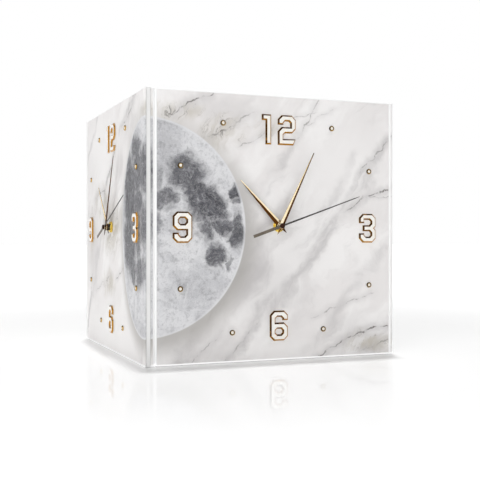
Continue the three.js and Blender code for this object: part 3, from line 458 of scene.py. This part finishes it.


# clear acrylic with the print behind it: its frosted cuts are white and carry a faint painted glow, a white
# band along the face's edges is a painted highlight with a stronger painted glow along the foot, and the
# cuts at the corner of the clock are clear. pairs are where a fade starts and ends
sheetLook = {
    "frost": shade(254, 254, 254), "frostRough": 0.55, "frostGlow": 0.03, "footGlow": 0.32,
    "edge": shade(214, 216, 217), "edgeShare": 0.08, "gloss": 0.35, "glossSpan": 0.04, "smear": 0.03,
    "coat": 0.16, "coatRough": 0.16, "margin": (1.8, 1.5), "grooveFrom": (9.3, 9.6),
    "grooveTo": (13.9, 13.6), "clearFrom": (-30, -25), "clearTo": (9, 8.5), "foot": (4, 2),
    "cutFrom": (0.15, 0.25), "cutTo": (0.98, 0.96), "upright": (0.3, 0.1),
}
cornerEdge = Vector((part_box("side_face_sheet")[0].x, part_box("front_face_sheet")[0].y, 0))


def sheetFinish(side, look):
    finish, tree, shader = newFinish(side + "PrintedSheet", {
        "Specular IOR Level": 0.02, "Coat Roughness": look["coatRough"], "Coat IOR": 1.49,
        "Emission Color": (1, 1, 1, 1),
    })
    fromCorner = vectorCalc(tree, "SUBTRACT", objectPlace(tree), tuple(cornerEdge))
    spot = addNode(tree, "SeparateXYZ", {0: fromCorner})
    run = calc(tree, "MULTIPLY", calc(tree, "SUBTRACT", spot.outputs[0], spot.outputs[1]), 1 / mm)
    rise = calc(tree, "MULTIPLY", spot.outputs[2], 1 / mm)
    flat = addNode(tree, "CombineXYZ", {0: run, 1: rise, 2: 0.0}).outputs[0]
    tone = moonTone(tree, run, rise, marbleTone(tree, flat, marblePrint), moonPrint)
    low, high = (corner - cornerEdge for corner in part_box(side + "_face_sheet"))
    startRun, endRun = min(low.x, -high.y) / mm, max(high.x, -low.y) / mm
    toEnd = calc(tree, "SUBTRACT", *((endRun, run) if side == "front" else (run, startRun)))
    toTop = calc(tree, "SUBTRACT", high.z / mm, rise)
    toEdge = calc(tree, "MINIMUM", calc(tree, "MINIMUM", rise, toTop), toEnd)
    # the groove's frost white is widened a little past the groove, and a band along the face's edges is
    # painted white as a highlight
    inGroove = between(tree, run, look["grooveFrom"], look["grooveTo"])
    bare = calc(tree, "MAXIMUM", inGroove, fade(tree, toEdge, *look["margin"]))
    tone = blendTone(tree, bare, tone, look["frost"])
    outward = facing(tree, dials[side]["out"])
    slanted = between(tree, outward, look["cutFrom"], look["cutTo"])
    upright = fade(tree, calc(tree, "ABSOLUTE", facing(tree, skyward)), *look["upright"])
    atCorner = between(tree, run, look["clearFrom"], look["clearTo"])
    frosted = calc(tree, "MULTIPLY", slanted,
                   calc(tree, "SUBTRACT", 1.0, calc(tree, "MULTIPLY", upright, atCorner)))
    endOn = fade(tree, outward, *reversed(look["cutFrom"]), 0, look["edgeShare"])
    tone = blendTone(tree, endOn, tone, look["edge"])
    tone = blendTone(tree, frosted, tone, look["frost"])
    smear = noise(tree, flat, look["smear"], 3, 0.6, flat=True)
    gloss, span = look["gloss"], look["glossSpan"]
    polish = fade(tree, smear, 0.3, 0.7, gloss - span, gloss + span)
    sawn = calc(tree, "MULTIPLY", frosted, look["frostRough"] - gloss)
    # painted glow: faint on the frosted cuts, stronger on the white band along the foot
    shown = fade(tree, outward, *look["cutFrom"], 0, look["footGlow"])
    atFoot = calc(tree, "MULTIPLY", fade(tree, rise, *look["foot"]), shown)
    glow = calc(tree, "MAXIMUM", calc(tree, "MULTIPLY", frosted, look["frostGlow"]),
                calc(tree, "MULTIPLY", bare, atFoot))
    plugIn(tree, shader, {
        "Base Color": tone, "Emission Strength": glow, "Roughness": calc(tree, "ADD", polish, sawn),
        "Coat Weight": fade(tree, frosted, 0, 1, look["coat"], 0),
    })
    return finish


# raised digits: cream face and sides, gold slopes with painted shade that goes dark to the upper left and a
# painted highlight on the slopes that face right
# dark is the painted shade of the gold slopes and pale their painted highlight
numeralLook = {
    "face": shade(255, 254, 249), "faceLow": shade(254, 249, 239), "gold": shade(190, 136, 54),
    "pale": shade(180, 130, 58), "dark": shade(74, 48, 20), "side": shade(247, 236, 208), "patch": 7 * mm,
    "shadeMottle": 1.8, "onFace": (0.9, 0.95), "onFlank": (0.35, 0.2), "lean": (0.75, -0.65),
    "goldLean": (-0.5, 0.35), "highlightLean": (0.5, 0.68), "rough": (0.18, 0.3), "coat": 0.5, "coatRough": 0.06,
}


def numeralFinish(side, look):
    finish, tree, shader = newFinish(side + "Numerals", {"Coat Roughness": look["coatRough"]})
    right = dials[side]["right"]
    outward = facing(tree, dials[side]["out"])
    face = fade(tree, outward, *look["onFace"])
    flank = fade(tree, outward, *look["onFlank"])
    leanRight, leanUp = look["lean"]
    lean = facing(tree, right * leanRight + skyward * leanUp)
    cloud = noise(tree, objectPlace(tree), 1 / look["patch"], 4)
    enamel = blendTone(tree, fade(tree, cloud, 0.3, 0.7), look["face"], look["faceLow"])
    # painted shade: the gold goes dark on slopes leaning to the upper left, broken by noise; painted
    # highlight: paler gold on slopes facing right
    mottledShadeLean = calc(tree, "MULTIPLY_ADD", calc(tree, "SUBTRACT", cloud, 0.5), look["shadeMottle"], lean)
    gold = blendTone(tree, fade(tree, mottledShadeLean, *look["goldLean"]), look["dark"], look["gold"])
    gold = blendTone(tree, fade(tree, facing(tree, right), *look["highlightLean"]), gold, look["pale"])
    gold = blendTone(tree, flank, gold, look["side"])
    plugIn(tree, shader, {
        "Base Color": blendTone(tree, face, gold, enamel),
        "Metallic": calc(tree, "SUBTRACT", 1.0, calc(tree, "ADD", face, flank)),
        "Roughness": fade(tree, cloud, 0.25, 0.75, *look["rough"]),
        "Coat Weight": calc(tree, "MULTIPLY", face, look["coat"]),
    })
    return finish


def dress(piece, finish):
    slots = nodes[piece].data.materials
    slots.clear()
    slots.append(finish)


finishOfPiece = {
    "back_board": "foamBoard", "rear_frame": "satinWhite", "gasket": "washerRubber",
    "movement_case": "blackCase", "movement_cover": "blackCase", "setting_knob": "blackCase",
    "battery_plate": "zincSteel", "battery_leaf": "zincSteel", "stator": "zincSteel",
    "minute_arbor": "yellowBrass", "rotor": "wheelNylon", "fifth_wheel": "wheelNylon",
    "second_wheel": "wheelNylon", "third_wheel": "wheelNylon", "minute_wheel": "wheelNylon",
    "change_wheel": "wheelNylon", "hour_wheel": "wheelNylon",
}
brackets = ("upper", "lower")
for side in dials:
    for piece, finishName in finishOfPiece.items():
        dress(side + "_" + piece, finishes[finishName])
    dress(side + "_face_sheet", sheetFinish(side, sheetLook))
    dress(side + "_coil_board", coilFinish(side + "Coil", side, coilWound))
    digits = numeralFinish(side, numeralLook)
    for digit in ("one", "two", "three", "six", "nine"):
        dress(side + "_numeral_" + digit, digits)
for bracket in brackets:
    dress(bracket + "_corner_bracket", finishes["zincSteel"])
print("finishes on:", len(bpy.data.materials))

# moulded and sawn edges are eased where the light would catch them
easedEdges = {
    "rear_frame": 0.8 * mm, "back_board": 0.25 * mm, "movement_case": 0.4 * mm,
    "movement_cover": 0.3 * mm, "setting_knob": 0.25 * mm,
}
bracketEase = 0.4 * mm


def easeEdges(piece, width):
    stack = nodes[piece].modifiers
    weld = stack.new("weld", "WELD")
    weld.merge_threshold = 0.001 * mm
    bevel = stack.new("ease", "BEVEL")
    bevel.width = width
    bevel.segments = 2
    bevel.limit_method = "ANGLE"
    bevel.angle_limit = math.radians(40)
    stack.new("shading", "WEIGHTED_NORMAL")


for side in dials:
    for piece, width in easedEdges.items():
        easeEdges(side + "_" + piece, width)
for bracket in brackets:
    easeEdges(bracket + "_corner_bracket", bracketEase)
print("edges eased")


def addObject(name, data):
    made = bpy.data.objects.new(name, data)
    bpy.context.scene.collection.objects.link(made)
    return made


def addPiece(name, shape, place, finishNames, body, slotName, *replaced):
    mesh = bpy.data.meshes.new(name)
    bmesh.ops.recalc_face_normals(shape, faces=shape.faces)
    shape.to_mesh(mesh)
    shape.free()
    for finishName in finishNames:
        mesh.materials.append(finishes[finishName])
    piece = addObject(name, mesh)
    piece.matrix_world = place
    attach(piece, body)
    if replaced:
        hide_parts(*replaced)


def evenTurns(segments):
    return [2 * math.pi * step / segments for step in range(segments)]


def onRing(radius, turn, height):
    return radius * mm * math.cos(turn), radius * mm * math.sin(turn), height * mm


# a turned shape round z: rings of radius and height, with the finish of each band between two rings
def turned(shape, rings, bands=None, segments=48, closed=False):
    loops = []
    for radius, height in rings:
        turns = evenTurns(segments) if radius else [0]
        loops.append([shape.verts.new(onRing(radius, turn, height)) for turn in turns])
    if closed:
        loops.append(loops[0])
    for band, (inner, outer) in enumerate(zip(loops, loops[1:])):
        for step in range(segments):
            after = (step + 1) % segments
            corners = [inner[step % len(inner)], inner[after % len(inner)],
                       outer[after % len(outer)], outer[step % len(outer)]]
            face = shape.faces.new(list(dict.fromkeys(corners)))
            face.material_index = bands[band] if bands else 0
            face.smooth = True


def joinLoops(shape, first, second):  # a band of faces between two loops of equal count
    made = []
    for step in range(len(first)):
        after = (step + 1) % len(first)
        made.append(shape.faces.new([first[step], first[after], second[after], second[step]]))
    return made


# folded gold hands: the facets' finishes run round from the tip; one gold is painted light and one painted
# shade, for the bright and dark halves of the fold, and the flanks take the painted shade too
handLooks = {
    "hour": {"length": 70, "halfWidth": 3.4, "tail": 11, "shoulder": 3, "angle": -43.9,
             "facets": [0, 1, 1, 1, 0], "peak": 0.9, "boss": 4.15, "bore": 2.65, "body": "hours"},
    "minute": {"length": 93, "halfWidth": 2.9, "tail": 11, "shoulder": 3, "angle": 26,
               "facets": [1, 0, 2, 1, 1], "peak": 0, "boss": 3.15, "bore": 1.65, "body": "minutes"},
}
handFold = {"tip": 0.45, "rim": 0.5, "ridge": 0.9, "bossRound": 0.35, "bossEase": 0.1, "boreEase": 0.2}


def foldedHand(look, fold, thickness):
    shape = bmesh.new()
    tip, half, shoulder = fold["tip"], look["halfWidth"], look["shoulder"]
    outline = [(tip, look["length"]), (-tip, look["length"]), (-half, shoulder), (0, -look["tail"]),
               (half, shoulder)]
    foot = [shape.verts.new((x * mm, y * mm, 0)) for x, y in outline]
    rim = [shape.verts.new((x * mm, y * mm, fold["rim"] * mm)) for x, y in outline]
    peak = shape.verts.new((look["peak"] * mm, 0, (fold["rim"] + fold["ridge"]) * mm))
    for step in range(len(outline)):
        after = (step + 1) % len(outline)
        # each facet takes the painted light gold or the painted shade gold
        facet = shape.faces.new([peak, rim[step], rim[after]])
        facet.material_index = look["facets"][step]
        shape.faces.new([rim[step], foot[step], foot[after], rim[after]]).material_index = 1
    shape.faces.new(list(reversed(foot))).material_index = 1
    high = thickness / mm
    boss, bore = look["boss"], look["bore"]
    rounded, ease, lip = fold["bossRound"], fold["bossEase"], fold["boreEase"]
    turned(shape, [(bore, 0), (boss, 0), (boss, high - rounded), (boss - ease, high - ease),
                   (boss - rounded, high), (bore + lip, high), (bore, high - lip)],
           bands=[1, 1, 0, 0, 2, 1, 1], closed=True)
    return shape


for side, dial in dials.items():
    for hand, look in handLooks.items():
        low, high = boxOnDial(side, hand + "_hand")
        turn = Matrix.Rotation(-math.radians(look["angle"]), 4, "Z")
        place = dial["hub"] @ Matrix.Translation((0, 0, low.z)) @ turn
        addPiece(f"{side}_{hand}_blade", foldedHand(look, handFold, high.z - low.z), place,
                 ["paintedLightGold", "paintedShadeGold", "studGold"], f"{side}_{look['body']}", "hand_gold",
                 f"{side}_{hand}_hand")
print("folded hands in place")

# thin seconds hand with a flat tail and a domed cap over the arbor
secondsLook = {
    "length": 104.7, "tail": 36.8, "tipHalf": 0.5, "rootHalf": 1.0, "tailHalf": 1.7, "tailStart": 8,
    "thick": 0.6, "bevel": 0.12, "angle": 70.7, "pointFrom": 0.94, "pointHalf": 0.2,
    "cap": [(3.0, 0), (3.0, 0.55), (2.92, 0.62), (2.75, 0.66), (2.7, 0.72), (2.22, 0.86), (1.5, 0.95),
            (0.75, 0.99)],  # radius, share of the height
}


def secondsHand(look, thickness):
    shape = bmesh.new()
    sections = [(-look["tail"], look["tailHalf"]), (-look["tailStart"], look["tailHalf"]),
                (0, look["rootHalf"]), (look["length"] * look["pointFrom"], look["tipHalf"]),
                (look["length"], look["pointHalf"])]
    thick = look["thick"]
    rings = []
    for height, half in sections:
        bevel = min(look["bevel"], half / 2)
        rings.append([shape.verts.new((x * mm, height * mm, z * mm)) for x, z in (
            (-half, 0), (half, 0), (half, thick - bevel), (half - bevel, thick),
            (bevel - half, thick), (-half, thick - bevel))])
    for band, (first, second) in enumerate(zip(rings, rings[1:])):
        for face in joinLoops(shape, first, second):
            face.material_index = int(band < 2)
    shape.faces.new(rings[0]).material_index = 1
    shape.faces.new(list(reversed(rings[-1])))
    high = thickness / mm
    cap = [(radius, high * share) for radius, share in look["cap"]]
    turned(shape, [(0, 0), *cap, (0, high)], bands=[2] * (len(cap) + 1))
    return shape


for side, dial in dials.items():
    low, high = boxOnDial(side, "second_hand")
    turn = Matrix.Rotation(-math.radians(secondsLook["angle"]), 4, "Z")
    place = dial["hub"] @ Matrix.Translation((0, 0, low.z)) @ turn
    addPiece(f"{side}_seconds_needle", secondsHand(secondsLook, high.z - low.z), place,
             ["needleGrey", "tailGrey", "capBrown"], f"{side}_seconds", "hand_dark",
             f"{side}_second_hand")
print("seconds hands in place")

# gold studs at the hours that have no number, with painted shade that darkens the gold to the upper left
studGilding = {
    "gold": shade(206, 168, 92), "dark": shade(50, 36, 16), "rough": 0.26, "grain": 700, "shadeMottle": 0.9,
    "lean": (0.75, -0.65, 0), "goldLean": (-0.35, 0.75),
}


def studFinish(name, look):
    finish, tree, shader = newFinish(name, {"Metallic": 1, "Roughness": look["rough"]})
    uneven = calc(tree, "SUBTRACT", noise(tree, objectPlace(tree), look["grain"], 3), 0.5)
    # painted shade: the ring goes from gold to dark where it leans to the upper left, broken by noise
    mottledShadeLean = calc(tree, "MULTIPLY_ADD", uneven, look["shadeMottle"], facing(tree, look["lean"]))
    gold = blendTone(tree, fade(tree, mottledShadeLean, *look["goldLean"]), look["dark"], look["gold"])
    plugIn(tree, shader, {"Base Color": gold})
    return finish


finishes["studRing"] = studFinish("studRing", studGilding)
studLook = {
    "rings": [(0, 0.05), (3.1, 0.05), (3.15, 0.5), (3.0, 1.0), (2.7, 1.35), (2.3, 1.5), (1.95, 1.4),
              (1.75, 1.1), (1.7, 1.1), (1.5, 1.3), (1.1, 1.52), (0.6, 1.66), (0, 1.7)],
    "bands": [0] * 8 + [1] * 4, "segments": 32,
    "places": {1: (67.4, 115.7), 2: (116.8, 67.1), 4: (117, -67.1), 5: (56.5, -116.9),
               7: (-56.5, -116.9), 8: (-117, -67.1), 10: (-116.8, 67.1), 11: (-67.4, 115.7)},
}
for side, dial in dials.items():
    for hour, (across, rise) in studLook["places"].items():
        shape = bmesh.new()
        turned(shape, studLook["rings"], studLook["bands"], studLook["segments"])
        place = dial["place"] @ Matrix.Translation((across * mm, rise * mm, 0))
        addPiece(f"{side}_hour_stud_{hour}", shape, place, ["studRing", "creamEnamel"], "case",
                 "numeral_gold")
print("hour studs in place")

# brass nut: six flats with chamfered corners over a round flange
nutLook = {
    "flat": 5.45, "bore": 4.1, "boreEase": 0.35, "flange": 6.9, "flangeHigh": 0.7, "flangeFoot": 0.15,
    "flangeEase": 0.25, "flangeDrop": 0.2, "hexGap": 0.02, "crown": 0.25, "crownDrop": 0.1, "slope": 0.5,
    "perFlat": 8,
}


def hexNut(look, thickness):
    shape = bmesh.new()
    high = thickness / mm
    turns = evenTurns(6 * look["perFlat"])
    corner = math.pi / 6
    flat, bore, ease = look["flat"], look["bore"], look["boreEase"]
    flange, ledge, foot = look["flange"], look["flangeHigh"], look["flangeFoot"]
    top = flat - look["crown"]
    hexReach = [flat / math.cos((turn + corner) % (2 * corner) - corner) for turn in turns]
    below = [(bore, 0), (flange - foot, 0), (flange, foot), (flange, ledge - look["flangeDrop"]),
             (flange - look["flangeEase"], ledge)]
    above = [(top, high), (bore + ease, high), (bore, high - ease)]
    hexagon = [[(reach, ledge + look["hexGap"]) for reach in hexReach],
               [(reach, high - look["crownDrop"] - (reach - top) * look["slope"]) for reach in hexReach]]
    rings = [[spot] * len(turns) for spot in below] + hexagon + [[spot] * len(turns) for spot in above]
    loops = [[shape.verts.new(onRing(radius, turn, height)) for turn, (radius, height) in zip(turns, ring)]
             for ring in rings]
    for inner, outer in zip(loops, loops[1:] + loops[:1]):
        joinLoops(shape, inner, outer)
    return shape


for side, dial in dials.items():
    low, high = boxOnDial(side, "lock_nut")
    place = dial["hub"] @ Matrix.Translation((0, 0, low.z))
    addPiece(f"{side}_hex_nut", hexNut(nutLook, high.z - low.z), place, ["yellowBrass"], "case", "brass",
             f"{side}_lock_nut")
print("lock nuts in place")

# a plain cell: sleeve, rolled ends and contact button
cellLook = {
    "rings": [(0, 0.35), (4.6, 0.35), (5.2, 0), (6.5, 0), (7.05, 0.25), (7.25, 0.8), (7.25, 1.6),
              (7.25, 47.2), (7.25, 47.9), (7.05, 48.4), (6.5, 48.7), (6.1, 48.5), (5.6, 48.2), (3.3, 48.2),
              (2.75, 48.6), (2.75, 50.1), (2.4, 50.5), (0, 50.5)],
    "bands": [1] * 6 + [0] + [1] * 10,
}
for side, dial in dials.items():
    low, high = boxOnDial(side, "battery")
    shape = bmesh.new()
    turned(shape, cellLook["rings"], cellLook["bands"])
    centre = (low + high) / 2
    toRight = Matrix.Rotation(math.pi / 2, 4, "Y")
    place = dial["place"] @ Matrix.Translation((low.x, centre.y, centre.z)) @ toRight
    addPiece(f"{side}_cell", shape, place, ["cellSleeve", "cellSteel"], "case", "battery_can",
             f"{side}_battery")
print("batteries in place")

# cross-recessed screws in the frames and brackets
screwLook = {
    "shank": 1.2, "shankDeep": 1.6, "crossLong": 1.5, "crossHalf": 0.32, "crossDeep": 0.8,
    "crossTaper": 0.8, "head": [(3.0, 0), (3.0, 0.25), (2.79, 0.6), (2.28, 0.9), (1.86, 1)], "segments": 24,
}


def crossScrew(look, headHigh):
    shape = bmesh.new()
    shank, deep = look["shank"], look["shankDeep"]
    head = [(radius, headHigh * share) for radius, share in look["head"]]
    turned(shape, [(0, -deep), (shank, -deep), (shank, 0), *head], segments=look["segments"])
    shape.verts.ensure_lookup_table()
    rim = shape.verts[-look["segments"]:]
    reach, half = look["crossLong"], look["crossHalf"]
    outline = [(half, half), (half, reach), (-half, reach), (-half, half), (-reach, half), (-reach, -half),
               (-half, -half), (-half, -reach), (half, -reach), (half, -half), (reach, -half), (reach, half)]
    lip = [shape.verts.new((x * mm, y * mm, headHigh * mm)) for x, y in outline]
    narrow = look["crossTaper"] * mm
    bottom = (headHigh - look["crossDeep"]) * mm
    floor = [shape.verts.new((x * narrow, y * narrow, bottom)) for x, y in outline]
    joinLoops(shape, lip, floor)
    shape.faces.new(floor)
    ringEdges = [edge for edge in shape.edges if edge.verts[0] in rim and edge.verts[1] in rim]
    lipEdges = [edge for edge in shape.edges if edge.verts[0] in lip and edge.verts[1] in lip]
    bmesh.ops.bridge_loops(shape, edges=ringEdges + lipEdges)
    return shape


def addScrew(name, spot, outward, headHigh):
    place = outward.to_track_quat("Z", "Y").to_matrix().to_4x4()
    place.translation = spot
    addPiece(name, crossScrew(screwLook, headHigh), place, ["zincSteel"], "case", "contact_steel")


frameScrews = {"sink": 0.35, "headHigh": 0.45, "inset": 7, "rises": (-112, 0, 112), "bottomSpread": 62}
for side, dial in dials.items():
    low, high = boxOnDial(side, "rear_frame")
    rail = frameScrews["inset"] * mm
    middle = (low.x + high.x) / 2
    spots = [(x, rise * mm) for x in (low.x + rail, high.x - rail) for rise in frameScrews["rises"]]
    spread = frameScrews["bottomSpread"] * mm
    spots += [(middle - spread, low.y + rail), (middle + spread, low.y + rail)]
    for number, (x, y) in enumerate(spots, 1):
        spot = dial["place"] @ Vector((x, y, low.z + frameScrews["sink"] * mm))
        addScrew(f"{side}_frame_screw_{number}", spot, -dial["out"], frameScrews["headHigh"])

bracketScrews = {"reach": 14, "rises": (-11, 11), "headHigh": 1.3, "thick": 1.5}
reach, thick = bracketScrews["reach"] * mm, bracketScrews["thick"] * mm
for bracket in brackets:
    low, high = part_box(bracket + "_corner_bracket")
    middle = (low.z + high.z) / 2
    for rise in bracketScrews["rises"]:
        level = "high" if rise > 0 else "low"
        wings = {"front": (reach, thick), "side": (thick, reach)}
        for side, (alongX, alongY) in wings.items():
            spot = Vector((low.x + alongX, low.y + alongY, middle + rise * mm))
            name = f"{bracket}_bracket_{side}_screw_{level}"
            addScrew(name, spot, -dials[side]["out"], bracketScrews["headHigh"])
print("screws in place")

# raised mouldings on the back of the movement: a border, ribs, and a ring round the setting knob
coverLook = {"border": 1.4, "inset": 1.0, "high": 0.5, "ringIn": 7.4, "ringOut": 8.5, "ribs": 5,
             "ribPitch": 2.6, "ribHalf": 0.5, "ribReach": 12, "ribInset": 4, "ribDrop": 6, "ease": 0.15}


def raisedBar(shape, left, right, bottom, top, high, ease):
    rings = []
    for inset, height in ((0, 0), (0, high - ease), (ease, high)):
        rings.append([shape.verts.new((x * mm, y * mm, height * mm)) for x, y in (
            (left + inset, bottom + inset), (right - inset, bottom + inset),
            (right - inset, top - inset), (left + inset, top - inset))])
    for first, second in zip(rings, rings[1:]):
        joinLoops(shape, first, second)
    shape.faces.new(rings[-1])
    shape.faces.new(list(reversed(rings[0])))


for side, dial in dials.items():
    low, high = boxOnDial(side, "movement_cover")
    knobLow, knobHigh = boxOnDial(side, "setting_knob")
    knob = (knobLow + knobHigh) / 2
    shape = bmesh.new()
    left, right = low.x / mm + coverLook["inset"], high.x / mm - coverLook["inset"]
    bottom, top = low.y / mm + coverLook["inset"], high.y / mm - coverLook["inset"]
    wide, tall, ease = coverLook["border"], coverLook["high"], coverLook["ease"]
    bars = [(left, right, top - wide, top), (left, right, bottom, bottom + wide),
            (left, left + wide, bottom + wide, top - wide), (right - wide, right, bottom + wide, top - wide)]
    ribEnd, ribHalf = right - coverLook["ribInset"], coverLook["ribHalf"]
    for rib in range(coverLook["ribs"]):
        level = top - coverLook["ribDrop"] - rib * coverLook["ribPitch"]
        bars.append((ribEnd - coverLook["ribReach"], ribEnd, level - ribHalf, level + ribHalf))
    for bar in bars:
        raisedBar(shape, *bar, tall, ease)
    ring = bmesh.new()
    inner, outer = coverLook["ringIn"], coverLook["ringOut"]
    turned(ring, [(inner, 0), (outer, 0), (outer, tall - ease), (outer - ease, tall), (inner + ease, tall),
                  (inner, tall - ease)], closed=True)
    flip = Matrix.Diagonal((1, 1, -1, 1))
    shape.transform(flip)
    ring.transform(flip)
    addPiece(f"{side}_cover_moulding", shape, dial["place"] @ Matrix.Translation((0, 0, low.z)),
             ["blackCase"], "case", "movement_black")
    addPiece(f"{side}_knob_ring", ring, dial["place"] @ Matrix.Translation((knob.x, knob.y, low.z)),
             ["blackCase"], "case", "movement_black")
print("movement mouldings in place")

# a pale glossy floor with a soft shadow, and a mirror image that fades away from the clock
floorLook = {
    "tone": shade(240, 240, 240), "half": 20.0, "drop": 0.3 * mm, "mirror": 0.24, "mirrorFar": 0.03,
    "mirrorFrom": 0.3, "mirrorTo": 0.56, "mirrorRough": 0.008, "glow": 0.03, "glowFar": 0.4,
    "glowFrom": 0.35, "glowTo": 1.6,
}
floorShape = bmesh.new()
bmesh.ops.create_grid(floorShape, x_segments=4, y_segments=4, size=floorLook["half"])
floorMesh = bpy.data.meshes.new("floor")
floorShape.to_mesh(floorMesh)
floorShape.free()
floor = addObject("floor", floorMesh)
floor.location.z = -floorLook["drop"]
floorFinish = bpy.data.materials.new("paleFloor")
floorFinish.use_nodes = True
tree = floorFinish.node_tree
tree.nodes.remove(tree.nodes["Principled BSDF"])
rays = addNode(tree, "LightPath").outputs
seen = calc(tree, "MAXIMUM", rays["Is Camera Ray"], rays["Is Glossy Ray"])
matt = addNode(tree, "BsdfDiffuse", {"Color": floorLook["tone"]}).outputs[0]
polish = {"Color": (1, 1, 1, 1), "Roughness": floorLook["mirrorRough"]}
mirror = addNode(tree, "BsdfGlossy", polish).outputs[0]
fromClock = vectorCalc(tree, "LENGTH", objectPlace(tree))
share = fade(tree, fromClock, floorLook["mirrorFrom"], floorLook["mirrorTo"], floorLook["mirror"],
             floorLook["mirrorFar"])
polished = addNode(tree, "MixShader", {0: share, 1: matt, 2: mirror}).outputs[0]
glowing = calc(tree, "MULTIPLY", seen, fade(tree, fromClock, floorLook["glowFrom"], floorLook["glowTo"],
                                            floorLook["glow"], floorLook["glowFar"]))
glow = addNode(tree, "Emission", {"Color": (1, 1, 1, 1), "Strength": glowing}).outputs[0]
lit = addNode(tree, "AddShader", {0: polished, 1: glow}).outputs[0]
plugIn(tree, tree.nodes["Material Output"], {"Surface": lit})
floorMesh.materials.append(floorFinish)

# soft studio: white walls and a dimmer roof, a lamp above and a little behind, a softbox at the front left
studioLook = {
    "wallFill": 0.67, "roofFill": 0.36, "sun": 1.62, "sunPlace": (0.1, 0.26, 2), "sunAim": (0, 0, 0),
    "sunSize": 4, "box": 12.0, "boxSize": 1.2, "boxPlace": (-1.45, -1.5, 1.3), "boxAim": (0, 0, 0.15),
}
world = bpy.data.worlds.new("softStudio")
bpy.context.scene.world = world
world.use_nodes = True
tree = world.node_tree
rays = addNode(tree, "LightPath").outputs
direct = calc(tree, "MAXIMUM", calc(tree, "MAXIMUM", rays["Is Camera Ray"], rays["Is Glossy Ray"]),
              rays["Is Transmission Ray"])
upward = addNode(tree, "SeparateXYZ", {0: addNode(tree, "TexCoord").outputs["Generated"]}).outputs[2]
fill = {"Value": upward, "To Min": studioLook["wallFill"], "To Max": studioLook["roofFill"]}
soft = addNode(tree, "MapRange", fill).outputs["Result"]
bright = calc(tree, "MAXIMUM", direct, soft)
plugIn(tree, tree.nodes["Background"], {"Color": (1, 1, 1, 1), "Strength": bright})


def addLamp(name, kind, energy, place, target):
    lamp = bpy.data.lights.new(name, kind)
    lamp.energy = energy
    stand = addObject(name, lamp)
    stand.location = place
    stand.rotation_mode = "QUATERNION"
    stand.rotation_quaternion = (Vector(target) - Vector(place)).to_track_quat("-Z", "Y")
    return lamp


overhead = addLamp("overhead", "SUN", studioLook["sun"], studioLook["sunPlace"], studioLook["sunAim"])
overhead.angle = math.radians(studioLook["sunSize"])
softbox = addLamp("softbox", "AREA", studioLook["box"], studioLook["boxPlace"], studioLook["boxAim"])
softbox.size = studioLook["boxSize"]
print("floor and light in place")

cameraLook = {"fromCorner": (-249.3, -902.7, 136.1), "turn": -21.7, "lens": 65.34, "sensor": 36}
lens = bpy.data.cameras.new("camera")
lens.lens = cameraLook["lens"]
lens.sensor_width = cameraLook["sensor"]
camera = addObject("camera", lens)
camera.location = cornerEdge + Vector(cameraLook["fromCorner"]) * mm
camera.rotation_euler = (math.pi / 2, 0, math.radians(cameraLook["turn"]))
bpy.context.scene.camera = camera
bpy.context.scene.view_settings.view_transform = "Standard"
